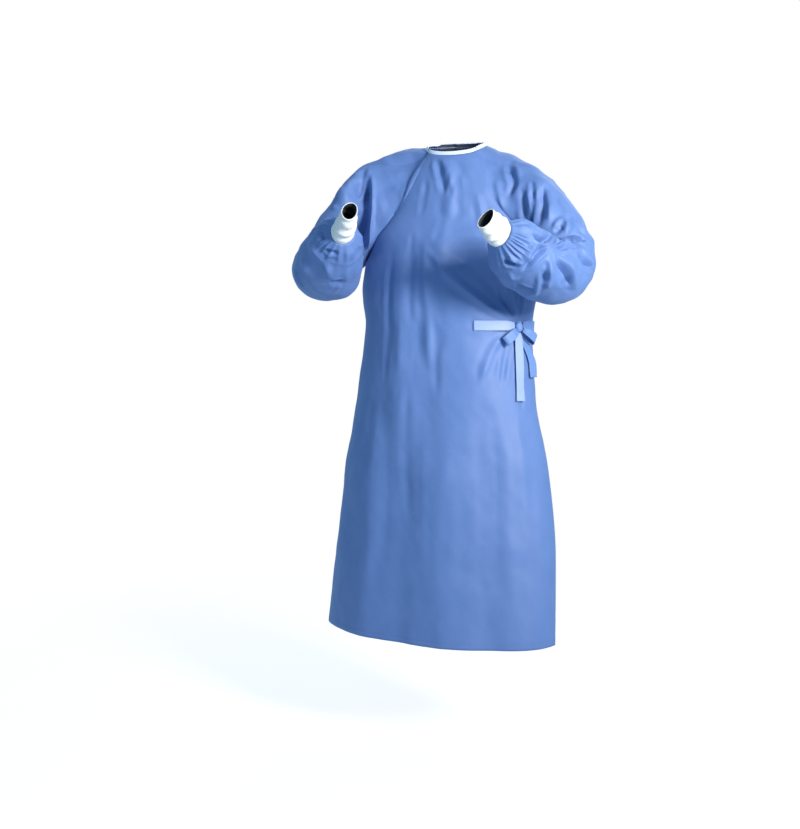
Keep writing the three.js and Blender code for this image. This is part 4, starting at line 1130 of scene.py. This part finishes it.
def band_points(rows, steps):
    """The middle line of a length of belt, the way of its width, its width and its face."""
    t = np.linspace(0, len(rows) - 1, steps)
    table = {c: along_rows([row[k] for row in rows], t) for k, c in enumerate(BAND_COLUMNS)}
    centre = []
    wide = []
    for k in range(steps):
        p, across, up, n = waist_frame(table["w"][k], table["z"][k])
        turn = math.radians(table["turn"][k])
        tilt = math.radians(table["tilt"][k])
        centre.append(p + n * table["lift"][k])
        level = across * math.cos(turn) * math.cos(tilt) + up * math.sin(turn) * math.cos(tilt)
        wide.append(level + n * math.sin(tilt))
    centre = np.array(centre)
    along = unit(np.gradient(centre, axis=0))
    wide = np.array(wide)
    wide = unit(wide - along * np.sum(wide * along, 1, keepdims=True))
    return centre, wide, BELT_WIDTH * table["share"], unit(np.cross(along, wide))


belt_paths = {}
for name, rows in BANDS.items():
    band_length, held, steps = BAND_CUTS[name]
    centre, wide, width, face = band_points(rows, steps)
    drawn = np.clip(1 - width / BELT_WIDTH, 0, 1)
    grid = []
    for share in np.linspace(-0.5, 0.5, 13):
        pucker = drawn * PUCKER_HEIGHT * math.cos(share * 6 * math.pi)
        weld = -WELD_DEPTH * math.exp(-(((abs(share) - 0.44) / 0.02) ** 2))
        grid.append(centre + wide * (share * width)[:, None] + face * (TAPE / 2 + pucker + weld)[:, None])
    belt_paths[name] = (centre, wide, face)
    cloth = belt_pale if name in ("front_tie", "bow_tail_front") else belt_deep
    band = cloth_wall(name + "_band", np.array(grid), -1, TAPE, (cloth, cloth))
    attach(band, "root")
    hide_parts(name)

KNOT_HALF_WIDTH = 11
KNOT_HALF_DEPTH = 9
KNOT_HALF_HEIGHT = 13
KNOT_LIFT = 9.2
KNOT_POLE = 0.02
KNOT_STEPS_UP = 44
KNOT_STEPS_ROUND = 72
p, across, up, n = waist_frame(0.674, -453)
turn_round = np.linspace(0, 2 * math.pi, KNOT_STEPS_ROUND, endpoint=False)
knot_rows = []
for a in np.linspace(KNOT_POLE, math.pi - KNOT_POLE, KNOT_STEPS_UP):
    ring_x = KNOT_HALF_WIDTH * math.sin(a) * np.cos(turn_round)
    ring_n = KNOT_HALF_DEPTH * math.sin(a) * np.sin(turn_round)
    ring_up = KNOT_HALF_HEIGHT * math.cos(a)
    groove = np.exp(-(((a - 1.5 - 0.4 * np.cos(turn_round)) / 0.12) ** 2))
    wrap = 1 + 0.07 * np.sin(3.2 * a + 1.5 * np.cos(turn_round)) - 0.1 * groove
    ring = across * ring_x[:, None] + n * ring_n[:, None] + up * ring_up
    knot_rows.append(p + n * KNOT_LIFT + ring * wrap[:, None])
knot = cloth_wall("belt_knot_wrap", np.array(knot_rows), 1, TAPE, (belt_deep, belt_deep), around=True)
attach(knot, "root")
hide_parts("belt_knot")
# The bar tack: a short block of stitches across the belt's sewn end.
TACK_SPACING = 1.4
TACK_THREAD = 0.3
TACK_HALF = 10.5
tack_centre, tack_wide, tack_face = belt_paths["front_tie"]
tack_way = unit(tack_centre[2] - tack_centre[1])
tack_lines = []
for step in np.linspace(0, 2.4, 5):
    middle = tack_centre[1] + tack_way * (1.2 + step) + tack_face[1] * (TAPE + 0.25)
    tack_lines.append(middle + tack_wide[1] * np.linspace(-TACK_HALF, TACK_HALF, 8)[:, None])
sew("belt_bar_tack", tack_lines, TACK_SPACING, TACK_THREAD)

# The studio: a round pale floor that fades out at its edge, soft light from the front, and a white surround.
FLOOR_RADIUS = 2.6
FLOOR_HEIGHT = -1.5
FLOOR_RINGS = 24
FLOOR_SPOKES = 72
floor_points = [(0, 0, FLOOR_HEIGHT)]
floor_faces = []
for ring in range(1, FLOOR_RINGS + 1):
    for spoke in range(FLOOR_SPOKES):
        angle = spoke / FLOOR_SPOKES * 2 * math.pi
        reach = FLOOR_RADIUS * ring / FLOOR_RINGS
        floor_points.append((reach * math.cos(angle), reach * math.sin(angle), FLOOR_HEIGHT))
for spoke in range(FLOOR_SPOKES):
    after = (spoke + 1) % FLOOR_SPOKES
    floor_faces.append((0, 1 + spoke, 1 + after))
    for low in range(1, 1 + (FLOOR_RINGS - 1) * FLOOR_SPOKES, FLOOR_SPOKES):
        high = low + FLOOR_SPOKES
        floor_faces.append((low + spoke, high + spoke, high + after, low + after))
floor_mesh = bpy.data.meshes.new("studio_floor")
floor_mesh.from_pydata(floor_points, [], floor_faces)
studio_floor = place_object("studio_floor", floor_mesh)
floor_white, tree, shader = new_material("floor_white")
place = tree.nodes.new("ShaderNodeTexCoord").outputs["Object"]
reach = add_node(tree, "ShaderNodeVectorMath", {0: place}, operation="LENGTH").outputs["Value"]
fade = {"Value": reach, "From Min": 1.6, "From Max": 2.9, "To Min": 0.4, "To Max": 0}
fade = add_node(tree, "ShaderNodeMapRange", fade, interpolation_type="SMOOTHSTEP").outputs[0]
feed(tree, shader, {
    "Base Color": (0.93, 0.93, 0.93, 1),
    "Roughness": 0.9,
    "Emission Color": (1, 0.98, 0.95, 1),
    "Emission Strength": 0.45,
    "Alpha": fade,
})
floor_mesh.materials.append(floor_white)

world = bpy.data.worlds.new("studio_white")
bpy.context.scene.world = world
world.use_nodes = True
tree = world.node_tree
sky = feed(tree, tree.nodes["Background"], {"Color": (0.46, 0.75, 1, 1), "Strength": 0.6}).outputs[0]
seen = add_node(tree, "ShaderNodeBackground", {"Color": (1, 1, 1, 1), "Strength": 1.0}).outputs[0]
rays = tree.nodes.new("ShaderNodeLightPath").outputs["Is Camera Ray"]
either = add_node(tree, "ShaderNodeMixShader", {"Fac": rays, 1: sky, 2: seen}).outputs[0]
feed(tree, tree.nodes["World Output"], {"Surface": either})
# The lights: name, place, aim, side, spread in degrees, power, colour.
for name, place, aim, size, spread, power, colour in (
    ("key_light", (2.65, -2.4, 0.8), (0, -0.1, -0.3), 0.6, 180, 112, (1, 0.91, 0.84)),
    ("side_light", (1.9, -1.5, 0.1), (0.3, -0.25, -0.25), 0.4, 50, 3.5, (1, 0.95, 0.9)),
    ("back_light", (0.6, 2.8, 1.4), (0, 0, -0.4), 1.8, 180, 22, (1, 1, 1)),
):
    light = bpy.data.lights.new(name, "AREA")
    light.shape = "SQUARE"
    light.size = size
    light.spread = math.radians(spread)
    light.energy = power
    light.color = colour
    lamp = bpy.data.objects.new(name, light)
    lamp.location = place
    lamp.rotation_euler = (Vector(aim) - Vector(place)).to_track_quat("-Z", "Y").to_euler()
    bpy.context.collection.objects.link(lamp)

# The camera: at chest height, turned 15 degrees to the wearer's left.
lens = bpy.data.cameras.new("camera")
lens.lens = 50.46
lens.sensor_width = 36
camera = bpy.data.objects.new("camera", lens)
camera.location = (0.6178, -2.8368, -0.5)
aim = Vector((-0.1328, -0.0356, -0.66875)) - camera.location
camera.rotation_euler = aim.to_track_quat("-Z", "Y").to_euler()
bpy.context.collection.objects.link(camera)
bpy.context.scene.camera = camera
bpy.context.scene.view_settings.view_transform = "Standard"
